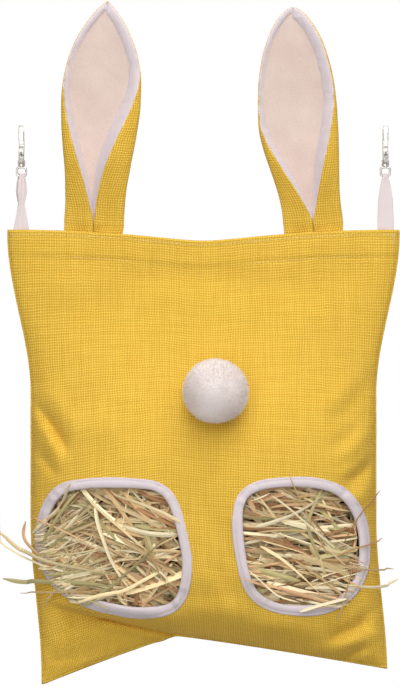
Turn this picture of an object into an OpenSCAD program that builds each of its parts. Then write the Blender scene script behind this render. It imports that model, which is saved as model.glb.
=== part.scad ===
// Hanging hay feeder bag with rabbit ears, a pompom tail and two swivel snap hooks.
// Millimetres, +Z up. The front, with the two feeding windows, faces -Y.
// The origin is the middle of the bar that both snap hooks hang from.

/* [Bag] */
// Width across the top hem
bag_w = 304; // [270:1:340]
// Height from the hem's corners down to the lowest corners
bag_h = 346; // [310:1:380]
// How far the fill draws each side in
side_pull = 18; // [8:0.5:26]
// How far the front and the back each bulge over the fill
belly = 46; // [36:1:56]
// How far the mouth stands open to the front and to the back
mouth = 11; // [9:0.5:14]
// How far the middle of the hem sags
hem_sag = 8.5; // [2:0.5:14]
// How far the middle of the bottom seam is drawn up above the corners
foot_arch = 31; // [16:1:36]
// Where the bottom is highest: a share of the half width, from the middle to the right
foot_peak = -0.21; // [-0.3:0.01:0.3]
// Height over which the bottom rounds in to its seam
foot_round = 62; // [50:1:76]
// How far the left bottom corner hangs below the right one, halved
foot_tilt = 6; // [0:0.5:10]
// How far the filled bottom swings to the right
foot_swing = 8.5; // [0:0.5:14]
// Thickness of the coarse linen
linen_t = 1.2; // [0.8:0.1:1.6]
// Width of the stitched seam at the sides and the bottom
seam_w = 2; // [1.5:0.1:3]
// Height of the facing inside the mouth
facing_h = 18; // [15:0.5:24]
// Thickness of the facing
facing_t = 1; // [0.6:0.1:1.4]

/* [Windows] */
// Height of both windows' openings
window_h = 92; // [76:1:100]
// Cloth between the left window's opening and the filled bag's side
left_window_side = 12; // [11:0.5:24]
// Cloth between the right window's opening and the filled bag's side
right_window_side = 13.5; // [9:0.5:24]
// Distance from the middle of the bag to the left window
left_window_x = 16; // [12:0.5:22]
// Distance from the middle of the bag to the right window
right_window_x = 31; // [28:0.5:42]
// Height of the windows' sills above the lowest corners
window_rise = 54; // [44:1:60]
// Radius of the windows' tight corners
window_r = 16; // [12:0.5:22]
// Radius of the windows' wide corners
window_wide_r = 30; // [24:0.5:36]
// Width of the binding tape that shows in front
tape_w = 7.4; // [5:0.1:10]
// Thickness of the binding tape
tape_t = 0.7; // [0.5:0.05:1]

/* [Tail] */
// Diameter of the pompom
pompom_d = 50; // [40:1:60]
// How much of the pompom's back is pressed flat
pompom_flat = 4; // [2:0.5:8]
// Drop of the pompom's tie below the hem's corners
pompom_drop = 130.5; // [90:1:140]
// How far the pompom sits to the right of the middle
pompom_x = 9; // [0:0.5:16]

/* [Ears] */
// Length of each ear above the hem
ear_l = 172; // [130:1:200]
// How much longer the left ear is
left_ear_more = 4.5; // [0:0.5:8]
// Full width of an ear at its widest
ear_w = 61.5; // [54:0.5:70]
// Full width of an ear just above the hem
ear_neck_w = 45.6; // [38:0.2:50]
// Distance from the bag's side to an ear's root
ear_inset = 67; // [58:0.5:76]
// How deep an ear's hollow is
ear_hollow = 9; // [6:0.5:13]
// How far the left ear's tip leans to the right
left_ear_lean = 0.5; // [0:0.5:8]
// How far the right ear bows over to the left
right_ear_bow = 7.5; // [0:0.5:12]
// How far the right ear's tip leans back to the right
right_ear_lean = 1; // [0:0.5:8]
// How far the ears tip forward, in degrees
ear_tip = 4; // [3:0.5:8]
// Thickness of an ear's outer linen
ear_linen_t = 1; // [0.7:0.1:1.2]
// Thickness of an ear's lining
ear_lining_t = 0.7; // [0.5:0.1:0.9]

/* [Straps] */
// Distance from the bag's side to a strap
strap_inset = 11; // [10:0.5:24]
// Width of the ribbon
ribbon_w = 12; // [9:0.5:13]
// Thickness of one layer of ribbon
ribbon_t = 0.8; // [0.6:0.05:1]
// Length of ribbon between the hem and the eye
strap_l = 40.5; // [28:0.5:60]
// Width of the ribbon where it is gathered in the eye
ribbon_gather = 3; // [2.4:0.1:3.2]

/* [Snap hooks] */
// Inner radius of the hook's bowl
bowl_r = 4; // [3:0.1:5]
// Thickness of the hook's bar, seen from the side
hook_bar = 3; // [2.6:0.1:3.6]
// Width of the hook across the bag
hook_t = 4.4; // [4:0.1:5]
// Distance between the centres of the hook's two round ends
hook_l = 17; // [15:0.5:22]
// Radius of the gate's pin
pin_r = 0.7; // [0.6:0.05:0.8]
// Width of the gate
gate_w = 2.8; // [2.7:0.05:3]
// Outer width of the swivel eye
eye_w = 8.8; // [8.4:0.1:10]
// Outer height of the swivel eye
eye_h = 8.4; // [7.6:0.1:10]
// Diameter of the eye's wire
eye_wire = 1.8; // [1.6:0.1:2.1]
// Radius of the swivel post
post_r = 1.2; // [1:0.05:1.4]

/* [Hidden] */
$fn = 48;

// Clearances: between two pieces of cloth, between moving metal parts, and in a running fit
cloth_gap = 0.3;
play = 0.2;
fit_gap = 0.05;
EPS = 0.01;

// ---- Places across the bag ----
strap_x = bag_w / 2 - strap_inset;
ear_x = bag_w / 2 - ear_inset;
filled_half_w = bag_w / 2 - side_pull;

// ---- Heights, counted down from the bar at z = 0 ----
ring_r = bowl_r + hook_bar;            // outer radius of the hook's round ends
boss_r = post_r + 1.8;                 // boss that the swivel post turns in
boss_top = -hook_l - bowl_r + 0.6;
boss_foot = -hook_l - ring_r - 0.8;
eye_top = boss_foot - play;            // the eye hangs just below the boss
eye_bar_z = eye_top - eye_h + eye_wire / 2;
strap_root_r = ribbon_t + cloth_gap / 2 + 0.05;
strap_root_z = eye_bar_z - strap_l;
hem_z = strap_root_z - strap_root_r - cloth_gap;

// ---- The bag's shape: y = -depth(x, z) is the inside of the front panel ----
function smooth(t) = let (c = min(max(t, 0), 1)) c * c * (3 - 2 * c);
// Share of the way from the hem's corners down to the lowest corners
function down(z) = (hem_z - z) / bag_h;
function half_w(z) = bag_w / 2 - side_pull * smooth((down(z) - 0.01) / 0.355);
function mid_x(z) = foot_swing * smooth((down(z) - 0.65) / 0.35);
function across(x, z) = (x - mid_x(z)) / half_w(z);
function hem_top(u) = hem_z - hem_sag * pow(max(1 - sqrt(u * u + 0.01), 0), 2) / 0.81;
function foot_z(u) = let (t = (u - foot_peak) / (u < foot_peak ? -1 - foot_peak : 1 - foot_peak))
    hem_z - bag_h + foot_arch - (foot_arch + (u < foot_peak ? 1 : -1) * foot_tilt) * pow(min(t, 1), 1.12);
function foot_close(up) = pow(1 - pow(1 - min(max(up / foot_round, 0), 1), 2), 0.6);
function depth(x, z) =
    let (
        u = across(x, z),
        side = min(abs(u) / (1 - seam_w / half_w(z)), 1),
        up = z - foot_z(u) - seam_w,
        lens = mouth * (1 - smooth(down(z) / 0.5)) * sqrt(1 - pow(side, 6)),
        fill = belly * smooth((down(z) - 0.08) / 0.5) * pow(1 - pow(side, 2.4), 0.62)
    )
    cloth_gap / 2 + lens + fill * foot_close(up);

// A point on the front panel, raised by s towards the outside
function skin(x, z, s) =
    let (
        e = 0.5,
        gx = (depth(x + e, z) - depth(x - e, z)) / (2 * e),
        gz = (depth(x, z + e) - depth(x, z - e)) / (2 * e),
        n = sqrt(1 + gx * gx + gz * gz)
    )
    [x - s * gx / n, -depth(x, z) - s / n, z - s * gz / n];

// Turns a grid of inner and outer points into a closed sheet
module sheet(inner, outer) {
    rows = len(inner);
    cols = len(inner[0]);
    n = rows * cols;
    points = concat([for (r = inner) for (p = r) p], [for (r = outer) for (p = r) p]);
    function at(r, c, side) = side * n + r * cols + c;
    skins = [for (side = [0, 1]) for (r = [0 : rows - 2]) for (c = [0 : cols - 2])
        let (a = at(r, c, side), b = at(r, c + 1, side), d = at(r + 1, c, side), e = at(r + 1, c + 1, side))
        each side == 0 ? [[a, e, b], [a, d, e]] : [[a, b, e], [a, e, d]]];
    ends = [for (r = [0, rows - 1]) for (c = [0 : cols - 2])
        let (a = at(r, c, 0), b = at(r, c + 1, 0), d = at(r, c, 1), e = at(r, c + 1, 1))
        each r == 0 ? [[a, b, e], [a, e, d]] : [[a, e, b], [a, d, e]]];
    edges = [for (c = [0, cols - 1]) for (r = [0 : rows - 2])
        let (a = at(r, c, 0), b = at(r + 1, c, 0), d = at(r, c, 1), e = at(r + 1, c, 1))
        each c == 0 ? [[a, e, b], [a, d, e]] : [[a, b, e], [a, e, d]]];
    polyhedron(points, concat(skins, ends, edges), convexity = 6);
}

// Turns a closed chain of equal sections, each a closed outline, into a ring
module ring(sections) {
    n = len(sections);
    m = len(sections[0]);
    points = [for (s = sections) for (p = s) p];
    faces = [for (i = [0 : n - 1]) for (k = [0 : m - 1])
        let (a = i * m + k, b = i * m + (k + 1) % m, i2 = (i + 1) % n, d = i2 * m + k, e = i2 * m + (k + 1) % m)
        each [[a, b, e], [a, e, d]]];
    polyhedron(points, faces, convexity = 8);
}

// Rows of [x, z] over the whole panel, closer together at the seams and over the rounded foot
PANEL_COLS = 24;
PANEL_ROWS = 20;
function panel_columns() = concat([-1], [for (i = [0 : PANEL_COLS]) -cos(180 * i / PANEL_COLS)], [1]);
function panel_point(c, i, w) =
    let (
        edge = i == 0 || i == PANEL_COLS + 2,
        top = hem_top(c),
        z0 = foot_z(c) + (w > 1 ? 0 : seam_w),
        z = top + (z0 - top) * min(w, 1),
        u = edge ? c : c * (1 - seam_w / half_w(z))
    )
    [mid_x(z) + u * half_w(z), z];
function panel_grid() =
    let (cs = panel_columns())
    [for (j = [0 : PANEL_ROWS + 1]) let (t = j / PANEL_ROWS, w = j > PANEL_ROWS ? 2 : t * (1.35 - 0.35 * t))
        [for (i = [0 : len(cs) - 1]) panel_point(cs[i], i, w)]];
// The same rows of points lifted off the panel's inner face by s
function lift(grid, s) = [for (r = grid) [for (p = r) skin(p[0], p[1], s)]];
// A patch between two columns, hung from the hem, over heights below the hem
function patch_grid(x0, x1, top, foot, cols, rows) =
    [for (j = [0 : rows]) [for (i = [0 : cols])
        let (x = x0 + (x1 - x0) * i / cols)
        [x, hem_top(x / (bag_w / 2)) - top - (foot - top) * j / rows]]];

module cloth_panel() {
    grid = panel_grid();
    sheet(lift(grid, 0), lift(grid, linen_t));
}

// ---- Windows: rounded openings, with the wide corners on the side of the bag's edge ----
window_foot = hem_z - bag_h + window_rise;
left_window = [left_window_side - filled_half_w, -left_window_x, window_wide_r, window_r];
right_window = [right_window_x, filled_half_w - right_window_side, window_r, window_wide_r];
tape_cloth_gap = 0.7;
tape_ease = 1;
WINDOW_ARC = 5;
WINDOW_SIDE = 4;
// The opening's outline, let out by d
function window_path(win, d) =
    let (
        z0 = window_foot,
        z1 = window_foot + window_h,
        corners = [
            [win[1] - win[3], z0 + win[3], win[3] + d, -90],
            [win[1] - win[3], z1 - win[3], win[3] + d, 0],
            [win[0] + win[2], z1 - win[2], win[2] + d, 90],
            [win[0] + win[2], z0 + win[2], win[2] + d, 180],
        ]
    )
    [for (i = [0 : 3])
        let (c = corners[i], n = corners[(i + 1) % 4], a1 = c[3] + 90,
            p = [c[0], c[1]] + c[2] * [cos(a1), sin(a1)],
            q = [n[0], n[1]] + n[2] * [cos(a1), sin(a1)])
        each concat(
            [for (k = [0 : WINDOW_ARC]) let (a = c[3] + 90 * k / WINDOW_ARC) [c[0], c[1]] + c[2] * [cos(a), sin(a)]],
            [for (k = [1 : WINDOW_SIDE]) p + (q - p) * k / (WINDOW_SIDE + 1)])];

module window_cut(win) {
    rotate([90, 0, 0])
        linear_extrude(height = belly + mouth + 40)
            polygon(window_path(win, tape_t + cloth_gap + tape_ease));
}

// Tape folded round the cut edge: a front leg, the fold and a back leg
module window_binding(win) {
    face = linen_t + tape_cloth_gap;
    profile = [
        [tape_w, face + tape_t], [0, face + tape_t], [0, -tape_cloth_gap - tape_t],
        [tape_w, -tape_cloth_gap - tape_t], [tape_w, -tape_cloth_gap], [tape_t, -tape_cloth_gap],
        [tape_t, face], [tape_w, face],
    ];
    paths = [for (p = profile) window_path(win, p[0])];
    color("lavenderblush")
        ring([for (i = [0 : len(paths[0]) - 1]) [for (k = [0 : len(profile) - 1])
            skin(paths[k][i][0], paths[k][i][1], profile[k][1])]]);
}

// ---- Bag ----
LINEN = [0.91, 0.75, 0.3];
// Room between panel and facing, where the ears' and the straps' ends are sewn in
tuck = 2.5;
tab_l = 15;
facing_half_w = strap_x + ribbon_w / 2;

module on_front(x, z) {
    e = 0.5;
    gx = (depth(x + e, z) - depth(x - e, z)) / (2 * e);
    gz = (depth(x, z + e) - depth(x, z - e)) / (2 * e);
    n = sqrt(1 + gx * gx + gz * gz);
    translate(skin(x, z, linen_t))
        rotate([0, acos(-gz / n), atan2(-1 / n, -gx / n)])
            children();
}

tie_r = 0.6;
tie_z = hem_z - pompom_drop;
module front_panel() {
    color(LINEN)
        difference() {
            cloth_panel();
            window_cut(left_window);
            window_cut(right_window);
            on_front(pompom_x, tie_z)
                cylinder(r = tie_r + 0.4, h = 4 * linen_t, center = true, $fn = 6);
        }
}

module back_panel() {
    color(LINEN)
        mirror([0, 1, 0]) cloth_panel();
}

module facing(room) {
    grid = patch_grid(-facing_half_w, facing_half_w, 0, facing_h, 22, 2);
    color(LINEN)
        sheet(lift(grid, -room - facing_t), lift(grid, -room));
}
module front_facing() facing(tuck);
module back_facing() mirror([0, 1, 0]) facing(cloth_gap);

module left_window_binding() window_binding(left_window);
module right_window_binding() window_binding(right_window);

module tail_pompom() {
    color("snow")
        on_front(pompom_x, tie_z)
            translate([0, 0, cloth_gap])
                difference() {
                    translate([0, 0, pompom_d / 2 - pompom_flat]) sphere(d = pompom_d);
                    translate([0, 0, -pompom_d / 2]) cube(pompom_d, center = true);
                }
}

// The thread through the panel, with its knot inside
knot_r = 3;
knot_t = 1.4;
module tail_tie() {
    color("white")
        on_front(pompom_x, tie_z) {
            translate([0, 0, -linen_t - cloth_gap - knot_t]) cylinder(r = knot_r, h = knot_t, $fn = 24);
            translate([0, 0, -linen_t - cloth_gap - knot_t]) cylinder(r = tie_r, h = linen_t + cloth_gap + knot_t + 0.1, $fn = 6);
        }
}

// Hay fills the lower half, and stands back from the windows
hay_front_gap = 14;
hay_back_gap = 0.4;
hay_edge = 24;
hay_top = window_foot + window_h + 42;
HAY_COLS = 14;
HAY_ROWS = 8;
function hay_point(u, w) =
    let (z0 = foot_z(u) + hay_edge, z = hay_top - 12 * u * u + (z0 - hay_top + 12 * u * u) * w)
    [mid_x(z) + u * (half_w(z) - hay_edge), z];
module hay_fill() {
    grid = [for (j = [0 : HAY_ROWS]) [for (i = [0 : HAY_COLS]) hay_point(-cos(180 * i / HAY_COLS), j / HAY_ROWS)]];
    back = [for (r = grid) [for (p = r) let (q = skin(p[0], p[1], -hay_back_gap)) [q[0], -q[1], q[2]]]];
    front = [for (r = grid) [for (p = r) [p[0], -max(depth(p[0], p[1]) - hay_front_gap, 1), p[1]]]];
    color("burlywood")
        sheet(back, front);
}

// A sewn-in end between panel and facing
module sewn_end(x, w, cols) {
    grid = patch_grid(x - w / 2, x + w / 2, cloth_gap, tab_l, cols, 1);
    sheet(lift(grid, -tuck + cloth_gap), lift(grid, -cloth_gap));
}
module left_ear_tab() color(LINEN) sewn_end(-ear_x, ear_neck_w, 6);
module right_ear_tab() color(LINEN) sewn_end(ear_x, ear_neck_w, 6);
module left_strap_tail() color("lavenderblush") sewn_end(-strap_x, ribbon_w, 3);
module right_strap_tail() color("lavenderblush") sewn_end(strap_x, ribbon_w, 3);

// ---- Ears: a folded leaf whose sides meet in front at the root and open out higher up ----
ear_press = 2.4;                 // half thickness of the flattened root
EAR_ROWS = 17;
EAR_COLS = 15;
// Each ear: [bow, lean of the tip, length, where it is widest as a share of the length, bluntness of the tip]
LEFT_EAR = [0, left_ear_lean, ear_l + left_ear_more, 0.56, 0.9];
RIGHT_EAR = [-right_ear_bow, right_ear_lean, ear_l, 0.48, 0.62];
function ear_half(h, ear) = h < ear[3]
    ? ear_neck_w / 2 + (ear_w - ear_neck_w) / 2 * smooth((h - 0.08) / (ear[3] - 0.08))
    : ear_w / 2 * pow(max(1 - pow((h - ear[3]) / (1 - ear[3]), 2.35), 0), ear[4]);
function ear_deep(h, ear) = h < ear[3]
    ? ear_press + (ear_hollow - ear_press) * smooth(h / 0.35)
    : ear_press + (ear_hollow - ear_press) * ear_half(h, ear) / (ear_w / 2);
// How far round a side is folded, in degrees from the middle of the back
function ear_fold(h, f) = min(max(180 - f[1] * pow(max(h - f[0], 0), f[2]), f[3]), 178);
function ear_station(j, h0) = h0 + (0.996 - h0) * (1 - pow(1 - j / EAR_ROWS, 1.6));
// [start, rate, power, least] of each side's fold
LEFT_EAR_FOLDS = [[0, 128, 1, 88], [0, 170, 1.9, 92]];
RIGHT_EAR_FOLDS = [[0.05, 175, 1, 88], [0, 125, 1, 104]];
// The lining lies just inside the linen, starts above the root roll and stops short of the tip
LINING_INSET = ear_linen_t + 0.2;
LINING_FOOT = ear_press + 0.6;
LINING_RIM = 0.006;

function ear_point(h, a, inset, ear) =
    [ear[0] * smooth(h / 0.5) + ear[1] * pow(h, 1.6) + (ear_half(h, ear) - inset) * sin(a),
        ear_press - ear_deep(h, ear) + (ear_deep(h, ear) - inset) * cos(a),
        h * ear[2]];
function ear_grid(folds, ear, inset, z0, rim) =
    [for (j = [0 : EAR_ROWS])
        let (h = ear_station(j, z0 / ear[2]) * (1 - rim), a0 = ear_fold(h, folds[0]), a1 = ear_fold(h, folds[1]))
        [for (i = [0 : EAR_COLS]) ear_point(h, -a0 + (a0 + a1) * i / EAR_COLS, inset, ear)]];

function hem_at(x) = hem_top(x / (bag_w / 2));
function hem_slope(x) = atan((hem_at(x + 1) - hem_at(x - 1)) / 2);
// Middle of the sewn-in ends, between panel and facing
function tuck_y(x) = -depth(x, hem_at(x)) + tuck / 2;

// Puts an ear's root roll on the hem at x
module at_ear(x) {
    translate([x, tuck_y(x), hem_at(x) + ear_press + cloth_gap])
        rotate([0, -hem_slope(x), 0])
            rotate([ear_tip, 0, 0])
                children();
}

module ear_back(x, folds, ear) {
    color(LINEN)
        at_ear(x) {
            sheet(ear_grid(folds, ear, ear_linen_t, 1, 0), ear_grid(folds, ear, 0, 1, 0));
            rotate([0, 90, 0]) cylinder(r = ear_press, h = ear_neck_w, center = true);
        }
}
module ear_lining(x, folds, ear) {
    color("seashell")
        at_ear(x)
            sheet(ear_grid(folds, ear, LINING_INSET + ear_lining_t, LINING_FOOT, LINING_RIM),
                ear_grid(folds, ear, LINING_INSET, LINING_FOOT, LINING_RIM));
}
module left_ear_back() ear_back(-ear_x, LEFT_EAR_FOLDS, LEFT_EAR);
module right_ear_back() ear_back(ear_x, RIGHT_EAR_FOLDS, RIGHT_EAR);
module left_ear_lining() ear_lining(-ear_x, LEFT_EAR_FOLDS, LEFT_EAR);
module right_ear_lining() ear_lining(ear_x, RIGHT_EAR_FOLDS, RIGHT_EAR);

// ---- Straps: ribbon doubled over the eye's lower bar ----
LOOP_ARC = 8;
loop_in = eye_wire / 2 + 0.25;
module strap_loop(x) {
    y0 = tuck_y(x);
    rise = eye_bar_z - strap_root_z;
    long = sqrt(y0 * y0 + rise * rise);
    legs = [0, 0.25, 0.5, 0.75, 0.92];
    function apart(t) = cloth_gap / 2 + (loop_in - cloth_gap / 2) * t;
    function broad(t) = ribbon_w + (ribbon_gather - ribbon_w) * pow(t, 1.3);
    function line(off) = concat(
        [for (t = legs) [-apart(t) - off, t * long, broad(t)]],
        [for (k = [0 : LOOP_ARC]) let (a = 180 - 180 * k / LOOP_ARC)
            [(loop_in + off) * cos(a), long + (loop_in + off) * sin(a), ribbon_gather]],
        [for (i = [len(legs) - 1 : -1 : 0]) let (t = legs[i]) [apart(t) + off, t * long, broad(t)]]);
    function grid(off) = [for (p = line(off)) [for (side = [1, -1]) [side * p[2] / 2, p[0], p[1]]]];
    color("lavenderblush")
        translate([x, y0, strap_root_z])
            rotate([atan2(y0, rise), 0, 0]) {
                sheet(grid(0), grid(ribbon_t));
                rotate([0, 90, 0]) cylinder(r = strap_root_r, h = ribbon_w, center = true);
            }
}
module left_strap_loop() strap_loop(-strap_x);
module right_strap_loop() strap_loop(strap_x);

// ---- Snap hooks ----
// Eye: a rounded wire frame, with a post that is headed over inside the hook
eye_bend = 1.9;
post_head_r = post_r + 0.8;
post_head_t = 1.2;
module swivel_eye(x) {
    half = (eye_w - eye_wire) / 2;
    tall = eye_h - eye_wire;
    color("gainsboro")
        translate([x, 0, eye_bar_z]) {
            for (sx = [-1, 1]) {
                for (sz = [0, 1])
                    translate([sx * (half - eye_bend), 0, sz == 0 ? eye_bend : tall - eye_bend])
                        rotate([90, sz == 0 ? (sx > 0 ? 90 : 180) : (sx > 0 ? 0 : -90), 0])
                            rotate_extrude(angle = 90) translate([eye_bend, 0]) circle(d = eye_wire);
                translate([sx * half, 0, eye_bend]) cylinder(d = eye_wire, h = tall - 2 * eye_bend);
            }
            for (z = [0, tall])
                translate([0, 0, z]) rotate([0, 90, 0])
                    cylinder(d = eye_wire, h = 2 * (half - eye_bend), center = true);
            translate([0, 0, tall]) cylinder(r = post_r, h = boss_top + play - eye_bar_z - tall + post_head_t);
            translate([0, 0, boss_top + play - eye_bar_z]) cylinder(r = post_head_r, h = post_head_t);
        }
}
module left_swivel_eye() swivel_eye(-strap_x);
module right_swivel_eye() swivel_eye(strap_x);

// The hook is drawn flat, with x towards the back and y up, and then stood on edge
module stand_hook(x) {
    translate([x, 0, 0]) rotate([90, 0, 90]) children();
}
module hook_section() {
    r = 0.9;
    w = hook_bar;
    translate([bowl_r, -hook_t / 2]) {
        translate([r, 0]) square([w - 2 * r, hook_t]);
        translate([0, r]) square([w, hook_t - 2 * r]);
        for (sx = [r, w - r]) for (sy = [r, hook_t - r]) translate([sx, sy]) circle(r = r);
    }
}
pin_x = -bowl_r - hook_bar / 2;
pin_y = -hook_l + 1.5;
gate_out = -ring_r + 0.2;              // the gate's outer and inner face
gate_in = -bowl_r - 0.15;
lap_x = -bowl_r - 1.4;                 // where the nose laps over the gate's tip
nose_end = -5.2;
lap_end = -3.6;
cheek_top = pin_y + 1.9;
knuckle_r = 1.35;
slot_w = gate_w + 2 * play / 2;

module hook_body(x) {
    color("gainsboro")
        stand_hook(x)
            difference() {
                union() {
                    rotate_extrude(angle = 180) hook_section();
                    translate([0, -hook_l, 0]) rotate([0, 0, 180]) rotate_extrude(angle = 180) hook_section();
                    for (s = [0, 180])
                        rotate([0, s, 0]) rotate([90, 0, 0]) linear_extrude(height = hook_l) hook_section();
                    translate([0, boss_top, 0]) rotate([90, 0, 0]) cylinder(r = boss_r, h = boss_top - boss_foot);
                }
                translate([0, boss_top + 1, 0]) rotate([90, 0, 0]) cylinder(r = post_r + fit_gap, h = boss_top - boss_foot + 2);
                translate([-ring_r - 1, cheek_top, -hook_t]) cube([hook_bar + 1.5, nose_end - cheek_top, 2 * hook_t]);
                translate([lap_x, nose_end - EPS, -hook_t]) cube([-lap_x - 0.5, lap_end - nose_end, 2 * hook_t]);
                translate([-ring_r - 1, pin_y - 2.4, -slot_w / 2]) cube([hook_bar + 1.5, cheek_top - pin_y + 3, slot_w]);
                translate([pin_x, pin_y, 0]) cylinder(r = pin_r + fit_gap, h = 2 * hook_t, center = true);
            }
}
module left_hook_body() hook_body(-strap_x);
module right_hook_body() hook_body(strap_x);

// A pressed channel that turns on the pin and laps inside the nose, with a thumb tab
gate_wall = 0.45;
tab_y = pin_y + 6;
module gate(x) {
    inner_w = gate_w - 2 * gate_wall;
    color("silver")
        stand_hook(x)
            difference() {
                union() {
                    translate([pin_x, pin_y, 0]) cylinder(r = knuckle_r, h = gate_w, center = true);
                    translate([gate_out, pin_y, -gate_w / 2]) cube([gate_in - gate_out, nose_end - play - pin_y, gate_w]);
                    translate([lap_x + play, pin_y, -gate_w / 2]) cube([gate_in - lap_x - play, lap_end - play - pin_y, gate_w]);
                    linear_extrude(height = gate_w, center = true)
                        polygon([[gate_out + 0.3, tab_y - 2.4], [gate_out - 1.9, tab_y], [gate_out - 1.9, tab_y + 0.9],
                            [gate_out + 0.3, tab_y + 1.6]]);
                }
                translate([pin_x, pin_y, 0]) cylinder(r = pin_r + fit_gap, h = 2 * gate_w, center = true);
                translate([gate_out - 1, pin_y - 2, -inner_w / 2]) cube([hook_bar + 2, 3.7, inner_w]);
                translate([gate_out + 0.6, pin_y + 1.6, -inner_w / 2]) cube([hook_bar, nose_end - pin_y - 4, inner_w]);
            }
}
module left_gate() gate(-strap_x);
module right_gate() gate(strap_x);

module gate_pin(x) {
    color("silver")
        stand_hook(x)
            translate([pin_x, pin_y, 0]) cylinder(r = pin_r, h = hook_t, center = true);
}
module left_gate_pin() gate_pin(-strap_x);
module right_gate_pin() gate_pin(strap_x);

// Torsion spring round the pin: two open turns of thin wire, with short straight ends
SPRING_TURNS = 2;
SPRING_RINGS = 8;
SPRING_SIDES = 6;
spring_wire = 0.3;
spring_pitch = 0.75;
spring_r = pin_r + 0.2 + spring_wire / 2;
function coil_centre(a) = [spring_r * cos(a), spring_r * sin(a), spring_pitch * (a / 360 - SPRING_TURNS / 2)];
function coil_ring(c, a) = [for (k = [0 : SPRING_SIDES - 1]) let (b = 360 * k / SPRING_SIDES)
    c + spring_wire / 2 * [cos(b) * cos(a), cos(b) * sin(a), sin(b)]];
spring_steps = SPRING_TURNS * SPRING_RINGS;
spring_end = 360 * SPRING_TURNS;
spring_rings = concat(
    [coil_ring(coil_centre(0) - spring_wire * [0, 1, 0], 0)],
    [for (i = [0 : spring_steps]) let (a = 360 * i / SPRING_RINGS) coil_ring(coil_centre(a), a)],
    [coil_ring(coil_centre(spring_end) + spring_wire * [-sin(spring_end), cos(spring_end), 0], spring_end)]);
spring_gap = min([for (i = [0 : spring_steps]) for (k = [i + SPRING_RINGS / 2 : 1 : spring_steps])
    norm(coil_centre(360 * i / SPRING_RINGS) - coil_centre(360 * k / SPRING_RINGS)) - spring_wire]);
module gate_spring(x) {
    n = len(spring_rings);
    m = SPRING_SIDES;
    walls = [for (i = [0 : n - 2]) for (k = [0 : m - 1])
        let (a = i * m + k, b = i * m + (k + 1) % m)
        each [[a, b, b + m], [a, b + m, a + m]]];
    caps = [for (k = [1 : m - 2]) each [[0, k + 1, k], [(n - 1) * m, (n - 1) * m + k, (n - 1) * m + k + 1]]];
    echo(spring_gap = spring_gap);
    color("gray")
        stand_hook(x)
            translate([pin_x, pin_y, 0])
                polyhedron([for (r = spring_rings) for (p = r) p], concat(walls, caps), convexity = 6);
}
module left_gate_spring() gate_spring(-strap_x);
module right_gate_spring() gate_spring(strap_x);

front_panel();
back_panel();
front_facing();
back_facing();
left_window_binding();
right_window_binding();
tail_pompom();
tail_tie();
hay_fill();
left_ear_tab();
right_ear_tab();
left_strap_tail();
right_strap_tail();
left_ear_back();
right_ear_back();
left_ear_lining();
right_ear_lining();
left_strap_loop();
right_strap_loop();
left_swivel_eye();
right_swivel_eye();
left_hook_body();
right_hook_body();
left_gate();
right_gate();
left_gate_pin();
right_gate_pin();
left_gate_spring();
right_gate_spring();
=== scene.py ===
"""Hanging hay feeder bag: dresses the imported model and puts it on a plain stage.

Lengths are in millimetres until a mesh is made; Blender's own units are metres.
"""
import math
import random

import bpy
import numpy as np
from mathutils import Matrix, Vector


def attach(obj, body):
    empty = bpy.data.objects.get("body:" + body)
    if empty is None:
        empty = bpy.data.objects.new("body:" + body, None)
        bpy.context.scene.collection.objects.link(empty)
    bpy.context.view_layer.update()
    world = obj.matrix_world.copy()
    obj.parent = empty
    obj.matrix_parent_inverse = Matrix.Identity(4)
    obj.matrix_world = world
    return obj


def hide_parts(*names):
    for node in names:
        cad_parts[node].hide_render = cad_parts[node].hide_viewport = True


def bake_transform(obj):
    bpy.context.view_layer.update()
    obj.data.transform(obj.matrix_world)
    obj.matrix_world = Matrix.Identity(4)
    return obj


bl_info = {
    "name": "Hanging hay feeder bag",
    "version": (1, 0, 0),
    "blender": (4, 5, 0),
    "location": "View3D > Sidebar > Hay bag",
    "description": "Builds a hanging hay feeder bag piece by piece over its packed frame",
    "category": "Add Mesh",
}

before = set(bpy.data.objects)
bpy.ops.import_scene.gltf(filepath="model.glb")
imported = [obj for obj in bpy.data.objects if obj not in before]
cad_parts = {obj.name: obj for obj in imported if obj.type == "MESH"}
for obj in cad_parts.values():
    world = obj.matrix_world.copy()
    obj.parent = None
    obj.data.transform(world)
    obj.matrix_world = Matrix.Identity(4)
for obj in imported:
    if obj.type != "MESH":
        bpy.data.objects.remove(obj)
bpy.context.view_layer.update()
MM = 0.001
SIDES = {"left": -1, "right": 1}


# ---- The bag's shape, by the same rules as the frame ----
HEM_Z, BAG_W, BAG_H = -74.3, 304.0, 346.0
SIDE_PULL, BELLY, MOUTH, HEM_SAG = 18.0, 46.0, 11.0, 8.5
FOOT_ARCH, FOOT_PEAK, FOOT_ROUND, FOOT_TILT, FOOT_SWING = 31.0, -0.21, 62.0, 6.0, 8.5
LINEN_T, SEAM_W, CLOTH_GAP = 1.2, 2.0, 0.3
TUCK, FACING_H, FACING_T = 2.5, 18.0, 1.0


def smooth(t):
    t = np.clip(t, 0, 1)
    return t * t * (3 - 2 * t)


def down(z):
    return (HEM_Z - z) / BAG_H


def half_w(z):
    return BAG_W / 2 - SIDE_PULL * smooth((down(z) - 0.01) / 0.355)


def mid_x(z):
    return FOOT_SWING * smooth((down(z) - 0.65) / 0.35)


def hem_top(u):
    return HEM_Z - HEM_SAG * np.maximum(1 - np.sqrt(u * u + 0.01), 0) ** 2 / 0.81


def hem_at(x):
    return hem_top(x / (BAG_W / 2))


def foot_z(u):
    left = u < FOOT_PEAK
    t = np.minimum((u - FOOT_PEAK) / np.where(left, -1 - FOOT_PEAK, 1 - FOOT_PEAK), 1)
    return HEM_Z - BAG_H + FOOT_ARCH - (FOOT_ARCH + np.where(left, 1, -1) * FOOT_TILT) * t ** 1.12


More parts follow.
